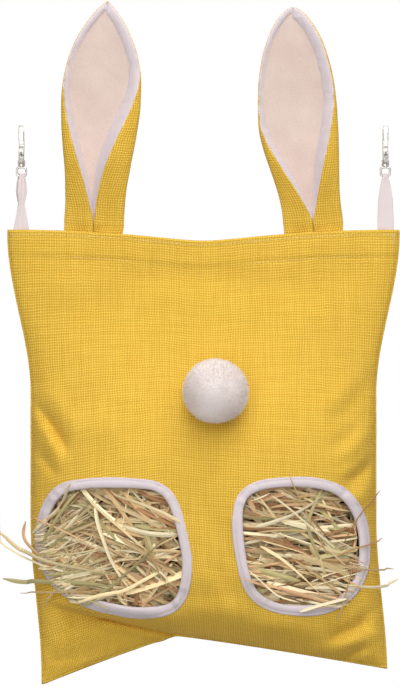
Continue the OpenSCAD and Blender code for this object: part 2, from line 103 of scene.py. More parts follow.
def depth(x, z):
    """Distance of the panel's inner face from the bag's middle plane."""
    u = (x - mid_x(z)) / half_w(z)
    side = np.minimum(np.abs(u) / (1 - SEAM_W / half_w(z)), 1)
    up = np.clip((z - foot_z(u) - SEAM_W) / FOOT_ROUND, 0, 1)
    lens = MOUTH * (1 - smooth(down(z) / 0.5)) * np.sqrt(1 - side ** 6)
    fill = BELLY * smooth((down(z) - 0.08) / 0.5) * (1 - side ** 2.4) ** 0.62
    return CLOTH_GAP / 2 + lens + fill * (1 - (1 - up) ** 2) ** 0.6


# The lower left corner hangs flat below a crease, and the filled belly overhangs it: from (x, z) to (x, z)
FLAP = ((-84.0, -369.5), (-21.0, -385.5))


def flap(x, z):
    """How much of the filled depth is left at the flat lower left corner, from 1 to 0.3."""
    (x0, z0), (x1, z1) = FLAP
    run = math.hypot(x1 - x0, z1 - z0)
    below = -((z - z0) * (x1 - x0) - (x - x0) * (z1 - z0)) / run
    along = ((x - x0) * (x1 - x0) + (z - z0) * (z1 - z0)) / run ** 2
    return 1 - 0.7 * smooth((below + 1) / 5.5) * smooth((1.3 - along) / 0.2) * smooth((along + 0.7) / 0.6)


WAVES = 7


def waves(x, z, seed, length):
    """Soft uneven swells, from -1 to 1, about length apart."""
    rng = random.Random(seed)
    total = np.zeros_like(x, dtype=float)
    for _ in range(WAVES):
        turn = rng.uniform(0, math.tau)
        k = math.tau / (length * rng.uniform(0.7, 1.6))
        total = total + np.sin(k * (x * math.cos(turn) + z * math.sin(turn)) + rng.uniform(0, math.tau))
    return total / WAVES


# Creases in the cloth: from (x, z) to (x, z), height outwards, half width. Negative heights are valleys.
FRONT_FOLDS = [
    (-140, -150, -127, -208, -2.0, 5), (-124, -198, -96, -236, 2.6, 8), (-133, -206, -105, -246, -6.0, 4.5),
    (-134, -226, -110, -258, 2.8, 6), (-130, -246, -112, -266, -2.0, 4), (131, -190, 98, -224, -2.6, 8),
    (134, -222, 104, -252, 3.6, 7), (134, -250, 108, -270, -4.5, 5), (134, -266, 114, -284, 3.4, 6),
    (-132, -288, -124, -262, 2.0, 5), (22, -286, 34, -352, 2.0, 9), (6, -330, 24, -362, -1.6, 7),
    (-8, -300, 0, -356, 1.0, 9), (-60, -104, 70, -118, -1.8, 14), (-40, -96, 60, -94, 1.0, 8),
    (-136, -128, -70, -112, 1.2, 14), (128, -118, 60, -146, 1.0, 16), (-84, -360, -14, -377, 3.6, 6),
    (-86, -371, -16, -388, -7.0, 4), (-122, -402, -70, -386, 2.0, 9), (-128, -386, -112, -416, -2.4, 5),
    (-30, -372, 70, -384, 2.0, 9),
    (96, -392, 134, -378, -5.5, 6), (84, -402, 124, -394, 3.4, 7), (108, -408, 128, -396, -3.4, 4),
    (124, -356, 134, -392, 2.4, 5), (118, -380, 138, -366, -2.8, 5), (40, -378, 96, -388, 2.4, 9),
    (-96, -228, -60, -236, 1.0, 12), (60, -204, 20, -240, 0.9, 18), (-24, -366, 40, -372, 2.2, 8),
]
BACK_FOLDS = [
    (-130, -180, -80, -204, 2.0, 8), (-132, -220, -96, -258, -2.4, 7), (131, -206, 92, -232, 2.2, 8),
    (132, -250, 104, -266, -2.2, 6), (-128, -300, -84, -290, 1.6, 8), (126, -330, 84, -318, 1.6, 8),
    (-60, -110, 66, -104, -1.2, 12), (-30, -180, 40, -160, 1.0, 14), (-120, -392, -72, -376, -2.6, 6),
    (104, -392, 64, -372, -2.6, 6), (-10, -384, 10, -340, 1.4, 7), (30, -386, 40, -350, -1.2, 6),
    (-40, -386, -46, -348, -1.2, 6), (118, -398, 132, -386, 2.2, 4), (-128, -404, -116, -390, 2.0, 4),
]


def creases(x, z, folds):
    total = np.zeros_like(x, dtype=float)
    for x0, z0, x1, z1, high, wide in folds:
        dx, dz = x1 - x0, z1 - z0
        run = dx * dx + dz * dz
        t = ((x - x0) * dx + (z - z0) * dz) / run
        off = ((x - x0) * dz - (z - z0) * dx) / math.sqrt(run) / wide
        off = off + 0.35 * np.sin(3 * t)
        ends = smooth((t + 0.15) / 0.45) * smooth((1.15 - t) / 0.45)
        total = total + high * ends * (np.exp(-off * off) - 0.45 * np.exp(-((off - 1.5) ** 2) / 0.8))
    return total


def stir(x, z, front):
    """How far the cloth stands off its smooth shape, outwards: creases, and the small swells of a soft bag."""
    u = np.clip(np.abs((x - mid_x(z)) / half_w(z)), 0, 1)
    fade = (1 - u ** 10) * smooth((z - foot_z(u)) / 5)
    hem = smooth((hem_at(x) - z - 16) / 26)
    swell = 0.9 * waves(x, z, 3 if front else 4, 62) + 0.28 * waves(x, z, 5 if front else 6, 21)
    return fade * hem * (creases(x, z, FRONT_FOLDS if front else BACK_FOLDS) + swell)


def skin(x, z, s, front=True, stirred=True):
    """Points on the front or back panel, raised by s off its inner face towards the outside."""
    def off(a, b):
        if not stirred:
            return depth(a, b)
        return depth(a, b) * (flap(a, b) if front else 1) + stir(a, b, front)

    x, z, e = np.asarray(x, float), np.asarray(z, float), 0.5
    gx = (off(x + e, z) - off(x - e, z)) / (2 * e)
    gz = (off(x, z + e) - off(x, z - e)) / (2 * e)
    n = np.sqrt(1 + gx * gx + gz * gz)
    y = off(x, z) + s / n
    return np.stack([x - s * gx / n, -y if front else y, z - s * gz / n], axis=-1)


# ---- Meshes ----
def linked(name, data):
    """An object with this data, in the scene."""
    piece = bpy.data.objects.new(name, data)
    bpy.context.scene.collection.objects.link(piece)
    return piece


def new_piece(name, points, faces, uvs, material, smooth_faces=True):
    """A mesh object from points in millimetres. uvs holds one (u, v) in millimetres for each point, or is None."""
    mesh = bpy.data.meshes.new(name)
    mesh.from_pydata((np.asarray(points, float) * MM).tolist(), [], faces)
    if uvs is not None:
        layer = mesh.uv_layers.new(name="cloth")
        index = np.empty(len(mesh.loops), int)
        mesh.loops.foreach_get("vertex_index", index)
        layer.data.foreach_set("uv", (np.asarray(uvs, float) * MM)[index].ravel())
    mesh.materials.append(material)
    mesh.polygons.foreach_set("use_smooth", [smooth_faces] * len(mesh.polygons))
    mesh.validate()
    mesh.update()
    return linked(name, mesh)


def settle(piece, slot, *nodes):
    """Hides the solids that a piece stands for, and lets it go with the bag; slot is not used."""
    if nodes:
        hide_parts(*nodes)
    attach(piece, "bag")


def unit(vectors):
    return vectors / np.linalg.norm(vectors, axis=1, keepdims=True)


def run_of(line):
    """How far along a line each of its points lies."""
    return np.concatenate([[0], np.cumsum(np.linalg.norm(np.diff(line, axis=0), axis=1))])


def laid_out(grid):
    """Where each point of a grid of points lies once the cloth is laid flat, in millimetres from its middle."""
    across = np.linalg.norm(np.diff(grid, axis=1), axis=2)
    u = np.concatenate([np.zeros((len(grid), 1)), np.cumsum(across, axis=1)], axis=1)
    u -= u[:, [grid.shape[1] // 2]]
    v = run_of(grid[:, grid.shape[1] // 2])
    return np.stack([u, np.repeat(-v[:, None], grid.shape[1], axis=1)], axis=-1)


def cloth(name, outer, inner, material, keep=None, flip=False):
    """A closed sheet between an outer and an inner grid of points. keep says which cells are cloth."""
    rows, cols = outer.shape[:2]
    n = rows * cols
    kept = np.pad(np.ones((rows - 1, cols - 1), bool) if keep is None else keep, 1)
    faces = []
    for r, c in np.argwhere(kept[1:-1, 1:-1]).tolist():
        a = r * cols + c
        b, d, e = a + 1, a + cols, a + cols + 1
        faces += [(a, d, e, b), (a + n, b + n, e + n, d + n)]
        # A wall on each side where no cloth follows
        walls = ((kept[r + 1, c], (a, a + n, d + n, d)), (kept[r + 1, c + 2], (b, e, e + n, b + n)),
                 (kept[r, c + 1], (a, b, b + n, a + n)), (kept[r + 2, c + 1], (d, d + n, e + n, e)))
        faces += [wall for goes_on, wall in walls if not goes_on]
    if flip:
        faces = [f[::-1] for f in faces]
    used = np.zeros(2 * n, bool)
    used[np.array(faces).ravel()] = True
    faces = (np.cumsum(used) - 1)[np.array(faces)].tolist()
    uv = laid_out(outer).reshape(-1, 2)
    points = np.concatenate([outer.reshape(-1, 3), inner.reshape(-1, 3)])[used]
    return new_piece(name, points, faces, np.concatenate([uv, uv])[used], material)


def tube(path, radius):
    """Points and faces of a closed tube with eight sides along a path."""
    path, sides = np.asarray(path, float), 8
    along = unit(np.gradient(path, axis=0))
    side = np.cross(along[0], [0.31, 0.52, 0.79])     # any direction that no path starts in
    side /= np.linalg.norm(side)
    points = []
    for p, t in zip(path, along):
        side = side - t * np.dot(side, t)
        side /= np.linalg.norm(side)
        other = np.cross(t, side)
        for a in (math.tau * k / sides for k in range(sides)):
            points.append(p + radius * (math.cos(a) * side + math.sin(a) * other))
    last = (len(path) - 1) * sides
    faces = [(i + k, i + (k + 1) % sides, i + (k + 1) % sides + sides, i + k + sides)
             for i in range(0, last, sides) for k in range(sides)]
    return points, faces + [tuple(range(sides - 1, -1, -1)), tuple(range(last, last + sides))]


def merged(parts):
    """Several (points, faces) as one."""
    points, faces = [], []
    for more, theirs in parts:
        start = len(points)
        points.extend(more)
        faces.extend(tuple(i + start for i in f) for f in theirs)
    return points, faces


def through(points, count, closed=False):
    """A smooth line with count points through the given ones."""
    points = np.asarray(points, float)
    n = len(points)
    spans = n if closed else n - 1
    line = []
    for k in range(count):
        t = k / count * spans if closed else k / (count - 1) * spans
        i = min(int(t), spans - 1)
        f = t - i
        pick = (lambda j: points[j % n]) if closed else (lambda j: points[min(max(j, 0), n - 1)])
        a, b, c, d = pick(i - 1), pick(i), pick(i + 1), pick(i + 2)
        square, cube = 2 * a - 5 * b + 4 * c - d, 3 * b - a - 3 * c + d
        line.append(0.5 * (2 * b + (c - a) * f + square * f * f + cube * f ** 3))
    return np.array(line)


def evenly(line, count, closed=False):
    """The same line with its points an even distance apart."""
    line = np.asarray(line, float)
    if closed:
        line = np.concatenate([line, line[:1]])
    run = run_of(line)
    places = np.linspace(0, run[-1], count + 1)[:-1] if closed else np.linspace(0, run[-1], count)
    return np.stack([np.interp(places, run, line[:, k]) for k in range(line.shape[1])], axis=-1)


# ---- Materials ----
def srgb(text):
    """A hex colour as Blender's linear colour."""
    parts = [int(text[i:i + 2], 16) / 255 for i in (1, 3, 5)]
    return (*[c / 12.92 if c <= 0.04045 else ((c + 0.055) / 1.055) ** 2.4 for c in parts], 1)


def add(tree, kind, inputs=(), **settings):
    """One node with its settings and its inputs: a value, an output to link, or a node, for its first output."""
    node = tree.nodes.new(kind)
    for key, value in settings.items():
        setattr(node, key, value)
    for key, value in dict(inputs).items():
        if isinstance(value, bpy.types.Node):
            value = value.outputs[0]
        if isinstance(value, bpy.types.NodeSocket):
            tree.links.new(value, node.inputs[key])
        else:
            node.inputs[key].default_value = value
    return node


def calc(tree, operation, *values):
    return add(tree, "ShaderNodeMath", dict(enumerate(values)), operation=operation)


def vector(tree, operation, *values):
    return add(tree, "ShaderNodeVectorMath", dict(enumerate(values)), operation=operation)


def noise(tree, place, scale, detail, rough=0.5):
    return add(tree, "ShaderNodeTexNoise", {"Vector": place, "Scale": scale, "Detail": detail, "Roughness": rough})


def two_tone(tree, factor, low, high):
    """A ramp between two colours, each given as (place, colour)."""
    ramp = add(tree, "ShaderNodeValToRGB", {"Fac": factor})
    for element, (place, colour) in zip(ramp.color_ramp.elements, (low, high)):
        element.position, element.color = place, srgb(colour)
    return ramp


def blank(name):
    """A new material without nodes, and its tree."""
    material = bpy.data.materials.new(name)
    material.use_nodes = True
    material.node_tree.nodes.clear()
    return material, material.node_tree


def coat(tree, colour, height, strength, distance, **inputs):
    """The surface: a colour over a bump of that strength and distance in metres, with more of the shader's inputs."""
    lift = add(tree, "ShaderNodeBump", {"Height": height, "Strength": strength, "Distance": distance})
    named = {key.replace("_", " "): value for key, value in inputs.items()}
    shader = add(tree, "ShaderNodeBsdfPrincipled", {"Base Color": colour, "Normal": lift, **named})
    add(tree, "ShaderNodeOutputMaterial", {"Surface": shader})


def woven(name, thread, gap, pitch, bump, slub, roughness, sheen):
    """Plain weave on the piece's own laid-out cloth: one thread every pitch metres, over and under in turn."""
    material, tree = blank(name)
    cloth_uv = add(tree, "ShaderNodeUVMap", uv_map="cloth")
    drift = noise(tree, cloth_uv, 55.0, 2.0)
    level = vector(tree, "SUBTRACT", drift.outputs["Color"], (0.5, 0.5, 0.5))
    moved = vector(tree, "MULTIPLY_ADD", level, (pitch * 1.6,) * 3, cloth_uv)
    turns = add(tree, "ShaderNodeVectorMath", {0: moved, "Scale": math.pi / pitch}, operation="SCALE")
    swing = vector(tree, "SINE", turns)
    s = add(tree, "ShaderNodeSeparateXYZ", {0: swing})
    r = add(tree, "ShaderNodeSeparateXYZ", {0: vector(tree, "ABSOLUTE", swing)})
    over = calc(tree, "MULTIPLY", s.outputs["X"], s.outputs["Y"])
    warp = calc(tree, "MULTIPLY", r.outputs["X"], calc(tree, "MULTIPLY_ADD", over, 0.36, 0.64))
    weft = calc(tree, "MULTIPLY", r.outputs["Y"], calc(tree, "MULTIPLY_ADD", over, -0.36, 0.64))
    height = calc(tree, "MAXIMUM", warp, weft)
    # Slubs: threads vary in thickness along their own length
    slubs = [noise(tree, vector(tree, "MULTIPLY", cloth_uv, stretch), 1.0, 1.5)
             for stretch in ((0.75 / pitch, 0.05 / pitch, 1), (0.05 / pitch, 0.75 / pitch, 1))]
    which = calc(tree, "MULTIPLY_ADD", over, 0.5, 0.5)
    tone = add(tree, "ShaderNodeMix", {"Factor": which, "A": slubs[1], "B": slubs[0]}, data_type="FLOAT")
    shade = calc(tree, "ADD", height, calc(tree, "MULTIPLY_ADD", tone.outputs["Result"], slub, -slub / 2))
    ramp = two_tone(tree, shade, (0.25, gap), (0.95, thread))
    worn = calc(tree, "MULTIPLY_ADD", noise(tree, cloth_uv, 22.0, 3.0), 0.12, 0.94)
    aged = add(tree, "ShaderNodeHueSaturation", {"Color": ramp, "Value": worn})
    coat(tree, aged, shade, 0.6, bump, Roughness=roughness, Sheen_Weight=sheen, Sheen_Roughness=0.5,
         Specular_IOR_Level=0.2)
    return material


def piled(name, light, dark, size, bump, sheen):
    """Short brushed pile or packed fibre, size metres from tuft to tuft."""
    material, tree = blank(name)
    place = add(tree, "ShaderNodeTexCoord").outputs["Object"]
    tufts = noise(tree, place, 1 / size, 4.0, 0.65)
    both = calc(tree, "ADD", tufts, noise(tree, place, 38.0, 2.0))
    ramp = two_tone(tree, calc(tree, "MULTIPLY", both, 0.5), (0.34, dark), (0.62, light))
    coat(tree, ramp, tufts, 0.5, bump, Roughness=0.95, Sheen_Weight=sheen, Sheen_Roughness=0.4, Specular_IOR_Level=0.15)
    return material


def dried_grass(name, tones, depth_shade):
    """Cured meadow hay: each stalk has its own tone, streaked along its length, with painted shade on the deeper
    stalks.
    """
    material, tree = blank(name)
    tone = add(tree, "ShaderNodeAttribute", attribute_name="tone").outputs["Fac"]
    uv = add(tree, "ShaderNodeUVMap", uv_map="cloth")
    # Veins every 0.4 mm across the blade, blotches every 12 mm along it
    veins = noise(tree, vector(tree, "MULTIPLY", uv, (2500.0, 80.0, 1.0)), 1.0, 3.0)
    ramp = add(tree, "ShaderNodeValToRGB", {"Fac": tone})
    ramp.color_ramp.interpolation = "CONSTANT"
    while len(ramp.color_ramp.elements) < len(tones):
        ramp.color_ramp.elements.new(0.5)
    for k, (element, colour) in enumerate(zip(ramp.color_ramp.elements, tones)):
        element.position, element.color = k / len(tones), srgb(colour)
    # The place of a stalk's tone within its step of the ramp says how bright it is: random from stalk to stalk, and
    # lower on deeper stalks as painted shade
    place = calc(tree, "FRACT", calc(tree, "MULTIPLY", tone, float(len(tones))))
    bright = calc(tree, "MULTIPLY_ADD", place, 0.62, 0.72)
    veined = calc(tree, "MULTIPLY_ADD", veins, 0.75, depth_shade)
    streaked = add(tree, "ShaderNodeHueSaturation", {"Color": ramp, "Value": calc(tree, "MULTIPLY", veined, bright)})
    coat(tree, streaked, veins, 0.4, 0.0002, Roughness=0.62, Sheen_Weight=0.1, Specular_IOR_Level=0.35)
    return material


def plated(name, dark, light, roughness, grain):
    """Metal: barrel-polished zinc under bright nickel, or drawn steel. Grain is the size of its faint unevenness."""
    material, tree = blank(name)
    haze = noise(tree, add(tree, "ShaderNodeTexCoord").outputs["Object"], 1 / grain, 3.0)
    rough = calc(tree, "MULTIPLY_ADD", haze, roughness, roughness * 0.5)
    coat(tree, two_tone(tree, haze, (0.3, dark), (0.7, light)), haze, 0.12, 0.00015, Roughness=rough, Metallic=1.0)
    return material


MATERIALS = {}


def finish(name):
    """Each finish is made once and shared."""
    if name not in MATERIALS:
        c = bpy.context.scene.hay_bag_colours
        # Straw, buff, grey-green and a few brown stems
        stems = (c.straw, "#d2b887", "#c0a170", c.hay_green, "#e6d0a0", "#caa277", "#ecdcb4", "#9d7349")
        # Woven: thread and gap, pitch and bump in metres, slubs, roughness, sheen. Piled: light and dark, size and
        # bump in metres, sheen. Plated: dark and light, roughness, grain in metres.
        make, *recipe = {
            # Coarse slubby plain weave, 1.9 mm from thread to thread: matt, with dark pinholes
            "linen": (woven, "woven_linen", c.linen, c.linen_gap, 0.0019, 0.0007, 0.6, 0.92, 0.05),
            # Fine cotton bias tape: threads of 0.35 mm, drawn at 0.7 mm so that they show
            "tape": (woven, "cotton_bias_tape", c.tape, c.tape_gap, 0.0007, 0.00012, 0.3, 0.85, 0.25),
            # Satin ribbon: long smooth floats, so the weave is faint and the light slides along it
            "ribbon": (woven, "satin_ribbon", c.ribbon, c.tape_gap, 0.0006, 0.00006, 0.2, 0.55, 0.3),
            # Short brushed polyester plush, 1.2 mm tufts
            "plush": (piled, "brushed_plush", c.plush, c.plush_shade, 0.0012, 0.0005, 0.5),
            # Cut acrylic yarn, packed to a dense nap
            "yarn": (piled, "cut_yarn", c.yarn, c.yarn_shade, 0.0009, 0.0004, 0.4),
            # Twisted polyester sewing thread, yellow and white
            "thread": (piled, "sewing_thread", c.thread, c.linen, 0.0004, 0.0001, 0.2),
            "white_thread": (piled, "white_sewing_thread", c.tape, c.tape_gap, 0.0004, 0.0001, 0.2),
            # Cured stems and blades
            "hay": (dried_grass, "cured_hay", stems, 0.66),
            # The wad behind the stalks lies in its own shadow
            "wad": (piled, "packed_hay", "#5e4a2a", "#281b0d", 0.0035, 0.003, 0.0),
            # Zinc hooks and gates under nickel, and plain steel pins and springs
            # Painted reflection: the nickel's two greys are darker than the plate's own, standing in for dark
            # surroundings that it would reflect
            "nickel": (plated, "bright_nickel_plate", "#98958f", "#c2bfba", 0.2, 0.0018),
            "steel": (plated, "drawn_steel", "#6f6d6a", "#969490", 0.35, 0.0006),
        }[name]
        MATERIALS[name] = make(*recipe)
    return MATERIALS[name]


# ---- Places ----
EAR_X, STRAP_X = 85.0, 141.0
EAR_NECK_W, EAR_HOLLOW, EAR_PRESS = 45.6, 9.0, 2.4
EAR_TIP, EAR_LINEN_T, EAR_LINING_T = 4.0, 1.0, 0.7
EYE_BAR_Z, STRAP_ROOT_Z = -32.5, -73.0
TIE_Z, POMPOM_X, POMPOM_D, POMPOM_FLAT = -204.8, 9.0, 50.0, 4.0
TAPE_W = 7.4
# How far below the hem's edge the two rows of stitches run, and half their length
HEM_SEAMS, HEM_SEAM_REACH = (3.6, 20.4), 147.5


def tuck_y(x):
    """Where ears and ribbons are sewn in at the hem: the middle of the gap between front panel and facing."""
    return float(-depth(x, hem_at(x)) + TUCK / 2)


# Openings of the two windows before they are lifted: (x, z) of the tape's fold, round from the inner edge
WINDOWS = {
    "left": [(-16.3, -331), (-17.6, -348), (-21.5, -359.5), (-30.5, -365.8), (-51.5, -367.3), (-68, -364.8),
             (-83.3, -361), (-98, -355), (-110, -346.3), (-118.5, -333.3), (-121.7, -317.2), (-120.2, -301.8),
             (-114.8, -288.7), (-105.6, -279.5), (-91, -276.2), (-75.7, -275.3), (-45.7, -276), (-34, -279.5),
             (-27.5, -286.5), (-23, -298), (-19, -314)],
    "right": [(29.8, -298), (30.6, -313.3), (32.6, -328.7), (35.3, -341.7), (40.3, -353), (48, -360), (58.7, -364.4),
              (71.8, -366), (85.6, -365.5), (97, -362.8), (107, -357.2), (114.8, -348), (119.4, -335.6),
              (120.6, -322.5), (119.6, -310), (116, -298), (109.5, -287.5), (99.4, -279.5), (85.6, -275.7),
              (71.8, -274.6), (56.4, -275), (43.4, -277.2), (34.9, -282), (30.9, -289)],
}
WINDOW_LIFT = 2.0


def window_line(side, count):
    lifted = [(x, z + WINDOW_LIFT) for x, z in WINDOWS[side]]
    return evenly(through(lifted, 400, closed=True), count, closed=True)


def outwards(line):
    """Unit directions out of a closed line of (x, z), whichever way it runs round."""
    along = unit(np.roll(line, -1, axis=0) - np.roll(line, 1, axis=0))
    normal = np.stack([along[:, 1], -along[:, 0]], axis=-1)
    middle = line.mean(axis=0)
    if np.sum((line - middle) * normal) < 0:
        normal = -normal
    return normal


def inside(x, z, line):
    """Which points lie inside a closed line."""
    hit = np.zeros_like(x, dtype=bool)
    for (x0, z0), (x1, z1) in zip(line, np.roll(line, -1, axis=0)):
        crosses = (z0 > z) != (z1 > z)
        at = x0 + (z - z0) / (z1 - z0 if z1 != z0 else 1e-9) * (x1 - x0)
        hit ^= crosses & (x < at)
    return hit


# ---- Bag ----
PANEL_CELLS = {"front": (178, 196), "back": (130, 140)}       # across and down
FACING_REACH, CUT_BACK = 147, 3.4                             # half a facing's length; from the tape's fold to the cut


def panel_places(cols, rows):
    """(x, z) over a whole panel, closer together at its edges."""
    c = -np.cos(np.pi * (0.12 + 0.76 * np.arange(cols + 1) / cols)) / math.cos(0.12 * math.pi)
    c = np.concatenate([[-1], c, [1]])
    w = np.linspace(0, 1, rows + 1)
    top, grid = hem_top(c), []
    # The last row is the foot itself, under the seam
    for share, seam in zip([*(w * (1.25 - 0.25 * w)), 1], [SEAM_W] * (rows + 1) + [0]):
        z = top + (foot_z(c) + seam - top) * share
        u = c * (1 - SEAM_W / half_w(z))
        u[0], u[-1] = -1, 1
        grid.append(np.stack([mid_x(z) + u * half_w(z), z], axis=-1))
    return np.array(grid)


def hem_shape(x, z):
    """Extra thickness of the turned hem: a rolled lip, the groove of the first seam and that of the second."""
    below, (first, second) = hem_at(x) - z, HEM_SEAMS
    lip = 0.75 * np.exp(-((below - 1.2) / 1.5) ** 2)
    groove = -0.55 * np.exp(-((below - first) / 0.9) ** 2) - 0.7 * np.exp(-((below - second) / 1.1) ** 2)
    return lip + groove + 0.6 * smooth((second - below) / 1.0)


def build_panel(front):
    face, keep = "front" if front else "back", None
    place = panel_places(*PANEL_CELLS[face])
    x, z = place[..., 0], place[..., 1]
    if front:
        cell = (place[:-1, :-1] + place[1:, 1:]) / 2
        lines = [window_line(side, 120) for side in SIDES]
        # The cut edges lie hidden under the tape
        cuts = [line + CUT_BACK * outwards(line) for line in lines]
        keep = ~np.any([inside(cell[..., 0], cell[..., 1], cut) for cut in cuts], axis=0)
    outer = skin(x, z, LINEN_T + hem_shape(x, z), front)
    piece = cloth(f"{face}_linen", outer, skin(x, z, 0, front), finish("linen"), keep, flip=not front)
    settle(piece, "linen", f"{face}_panel")


def build_facing(front):
    face, room = ("front", TUCK) if front else ("back", CLOTH_GAP)
    x, below = np.meshgrid(np.linspace(-FACING_REACH, FACING_REACH, 120), np.linspace(0.4, FACING_H, 9))
    outer, inner = (skin(x, hem_at(x) - below, -off, front, False) for off in (room, room + FACING_T))
    settle(cloth(f"{face}_hem_facing", outer, inner, finish("linen"), flip=not front), "linen", f"{face}_facing")


def build_binding(side):
    """Bias tape folded round the window's cut edge, with small pleats where it turns a corner, and its stitches."""
    line = window_line(side, 260)
    normal = outwards(line)
    n = len(line)
    turn = np.arctan2(normal[:, 1], normal[:, 0])
    bend = np.abs(np.angle(np.exp(1j * (np.roll(turn, -4) - np.roll(turn, 4)))))
    # Each place takes the mean bend of the 19 round it
    bend = np.convolve(np.concatenate([bend[-9:], bend, bend[:9]]), np.ones(19) / 19, "valid")
    tight = smooth((bend - 0.12) / 0.3)
    run = run_of(line)
    pleat = tight * (0.55 * np.sin(run / 1.15) * np.sin(run / 5.1 + 1) + 0.4 * np.sin(run / 2.3))
    uneven = 0.35 * np.sin(run / 17 + 1) + 0.25 * np.sin(run / 7.3)
    # The tape's ends overlap at one place
    join = int(n * (0.93 if side == "left" else 0.17))
    lap = np.exp(-((np.arange(n) - join) / 2.0) ** 2)
    # Round the tape: distance out from the fold, height off the panel's inner face
    face, back = LINEN_T + 0.35, -0.5
    profile = [(TAPE_W, face - 0.25), (TAPE_W + 0.1, face + 0.35), (TAPE_W - 0.9, face + 0.75),
               (TAPE_W - 1.6, face + 0.45), (TAPE_W - 2.6, face + 0.95), (4.2, face + 1.35), (2.4, face + 1.35),
               (0.9, face + 1.0), (0.1, face + 0.35), (-0.15, (face + back) / 2), (0.1, back - 0.3), (0.9, back - 0.75),
               (3.5, back - 0.7), (6.2, back - 0.65), (6.3, back - 0.1), (3.5, back), (1.2, back), (0.75, 0),
               (1.2, face - 0.1), (4.5, face - 0.15)]
    rows = []
    for k, (out, high) in enumerate(profile):
        shown = 1.0 if 1 <= k <= 9 else 0.0
        puff = 1.0 if 3 <= k <= 8 else 0.25
        at = line + normal * (out + shown * uneven * (out / TAPE_W))[:, None]
        rows.append(skin(at[:, 0], at[:, 1], high + shown * puff * pleat + shown * 0.5 * lap))
    grid, count = np.array(rows), len(profile)
    faces = [(k * n + i, k * n + j, (k + 1) % count * n + j, (k + 1) % count * n + i)
             for k in range(count) for i, j in zip(range(n), [*range(1, n), 0])]
    v = run_of(grid[:, 0])
    uv = np.stack([np.repeat(v[:, None], n, axis=1), np.repeat(run[None, :n], count, axis=0)], axis=-1)
    piece = new_piece(f"{side}_window_tape", grid.reshape(-1, 3), faces, uv.reshape(-1, 2), finish("tape"))
    outwards_faces(piece)
    settle(piece, "tape", f"{side}_window_binding")
    seam = line + normal * (TAPE_W - 1.55)
    path = skin(seam[:, 0], seam[:, 1], face + 0.62)
    row = stitched(f"{side}_window_stitches", path, finish("white_thread"), pitch=2.7, length=2.0, thick=0.34,
                   closed=True)
    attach(row, "bag")


def outwards_faces(piece):
    """Faces of a closed mesh turned to point out of it."""
    bpy.context.view_layer.objects.active = piece
    piece.select_set(True)
    bpy.ops.object.mode_set(mode="EDIT")
    bpy.ops.mesh.select_all(action="SELECT")
    bpy.ops.mesh.normals_make_consistent(inside=False)
    bpy.ops.object.mode_set(mode="OBJECT")
    piece.select_set(False)


# ---- Geometry nodes ----
def node_tree(name, inputs):
    """A geometry tree with named inputs; gives the tree, its input node and its output node."""
    tree = bpy.data.node_groups.new(name, "GeometryNodeTree")
    tree.interface.new_socket("Geometry", in_out="INPUT", socket_type="NodeSocketGeometry")
    for label, kind, value in inputs:
        socket = tree.interface.new_socket(label, in_out="INPUT", socket_type=kind)
        socket.default_value = value
    tree.interface.new_socket("Geometry", in_out="OUTPUT", socket_type="NodeSocketGeometry")
    return tree, tree.nodes.new("NodeGroupInput"), tree.nodes.new("NodeGroupOutput")


def grown(name, base, tree, values):
    """The plain mesh that a geometry tree makes on base, as a new piece; base is removed."""
    modifier = base.modifiers.new(tree.name, "NODES")
    modifier.node_group = tree
    for item in tree.interface.items_tree:
        if item.in_out == "INPUT" and item.name in values:
            modifier[item.identifier] = values[item.name]
    bpy.context.view_layer.update()
    graph = bpy.context.evaluated_depsgraph_get()
    mesh = bpy.data.meshes.new_from_object(base.evaluated_get(graph), preserve_all_data_layers=True, depsgraph=graph)
    mesh.name = name
    base.modifiers.remove(modifier)
    bpy.data.objects.remove(base)
    return linked(name, mesh)


def strewn(tree, given, made, points, shape, rotation, long):
    """Ends a geometry tree: the shape stands on each point, as thick as the input says. Gives the material's node."""
    thick = given.outputs["Thickness"]
    size = add(tree, "ShaderNodeCombineXYZ", {"X": thick, "Y": thick, "Z": long})
    placed = add(tree, "GeometryNodeInstanceOnPoints",
                 {"Points": points, "Instance": shape, "Rotation": rotation, "Scale": size})
    real = add(tree, "GeometryNodeRealizeInstances", {"Geometry": placed})
    named = add(tree, "GeometryNodeSetMaterial", {"Geometry": real})
    tree.links.new(named.outputs[0], made.inputs[0])
    return named


def stitched(name, path, material, pitch, length, thick, closed=False):
    """A row of stitches along a path: one short rounded stroke of thread every pitch, in millimetres."""
    tree = bpy.data.node_groups.get("Stitch row")
    if tree is None:
        tree, given, made = node_tree("Stitch row", [(label, "NodeSocketFloat", value) for label, value in (
            ("Pitch", 0.003), ("Length", 0.002), ("Thickness", 0.0004))])
        along = add(tree, "GeometryNodeCurveToPoints", {"Curve": given, "Length": given.outputs["Pitch"]},
                    mode="LENGTH")
        stroke = add(tree, "GeometryNodeMeshUVSphere", {"Segments": 6, "Rings": 5, "Radius": 0.5})
        strewn(tree, given, made, along, stroke, along.outputs["Rotation"], given.outputs["Length"]).name = "thread"
    tree.nodes["thread"].inputs["Material"].default_value = material
    curve = bpy.data.curves.new(name, "CURVE")
    curve.dimensions = "3D"
    spline = curve.splines.new("POLY")
    spline.points.add(len(path) - 1)
    for point, p in zip(spline.points, path):
        point.co = (*(np.asarray(p) * MM), 1)
    spline.use_cyclic_u = closed
    values = {"Pitch": pitch * MM, "Length": length * MM, "Thickness": thick * MM}
    return grown(name, linked(name + "_line", curve), tree, values)


def build_hem_stitches():
    x = np.linspace(-HEM_SEAM_REACH, HEM_SEAM_REACH, 240)
    for face in ("front", "back"):
        for k, below in enumerate(HEM_SEAMS):
            z = hem_at(x) - below
            path = skin(x, z, LINEN_T + hem_shape(x, z) + 0.3, face == "front")
            row = stitched(f"{face}_hem_stitches_{k + 1}", path, finish("thread"), pitch=3.2, length=2.9, thick=0.75)
            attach(row, "bag")


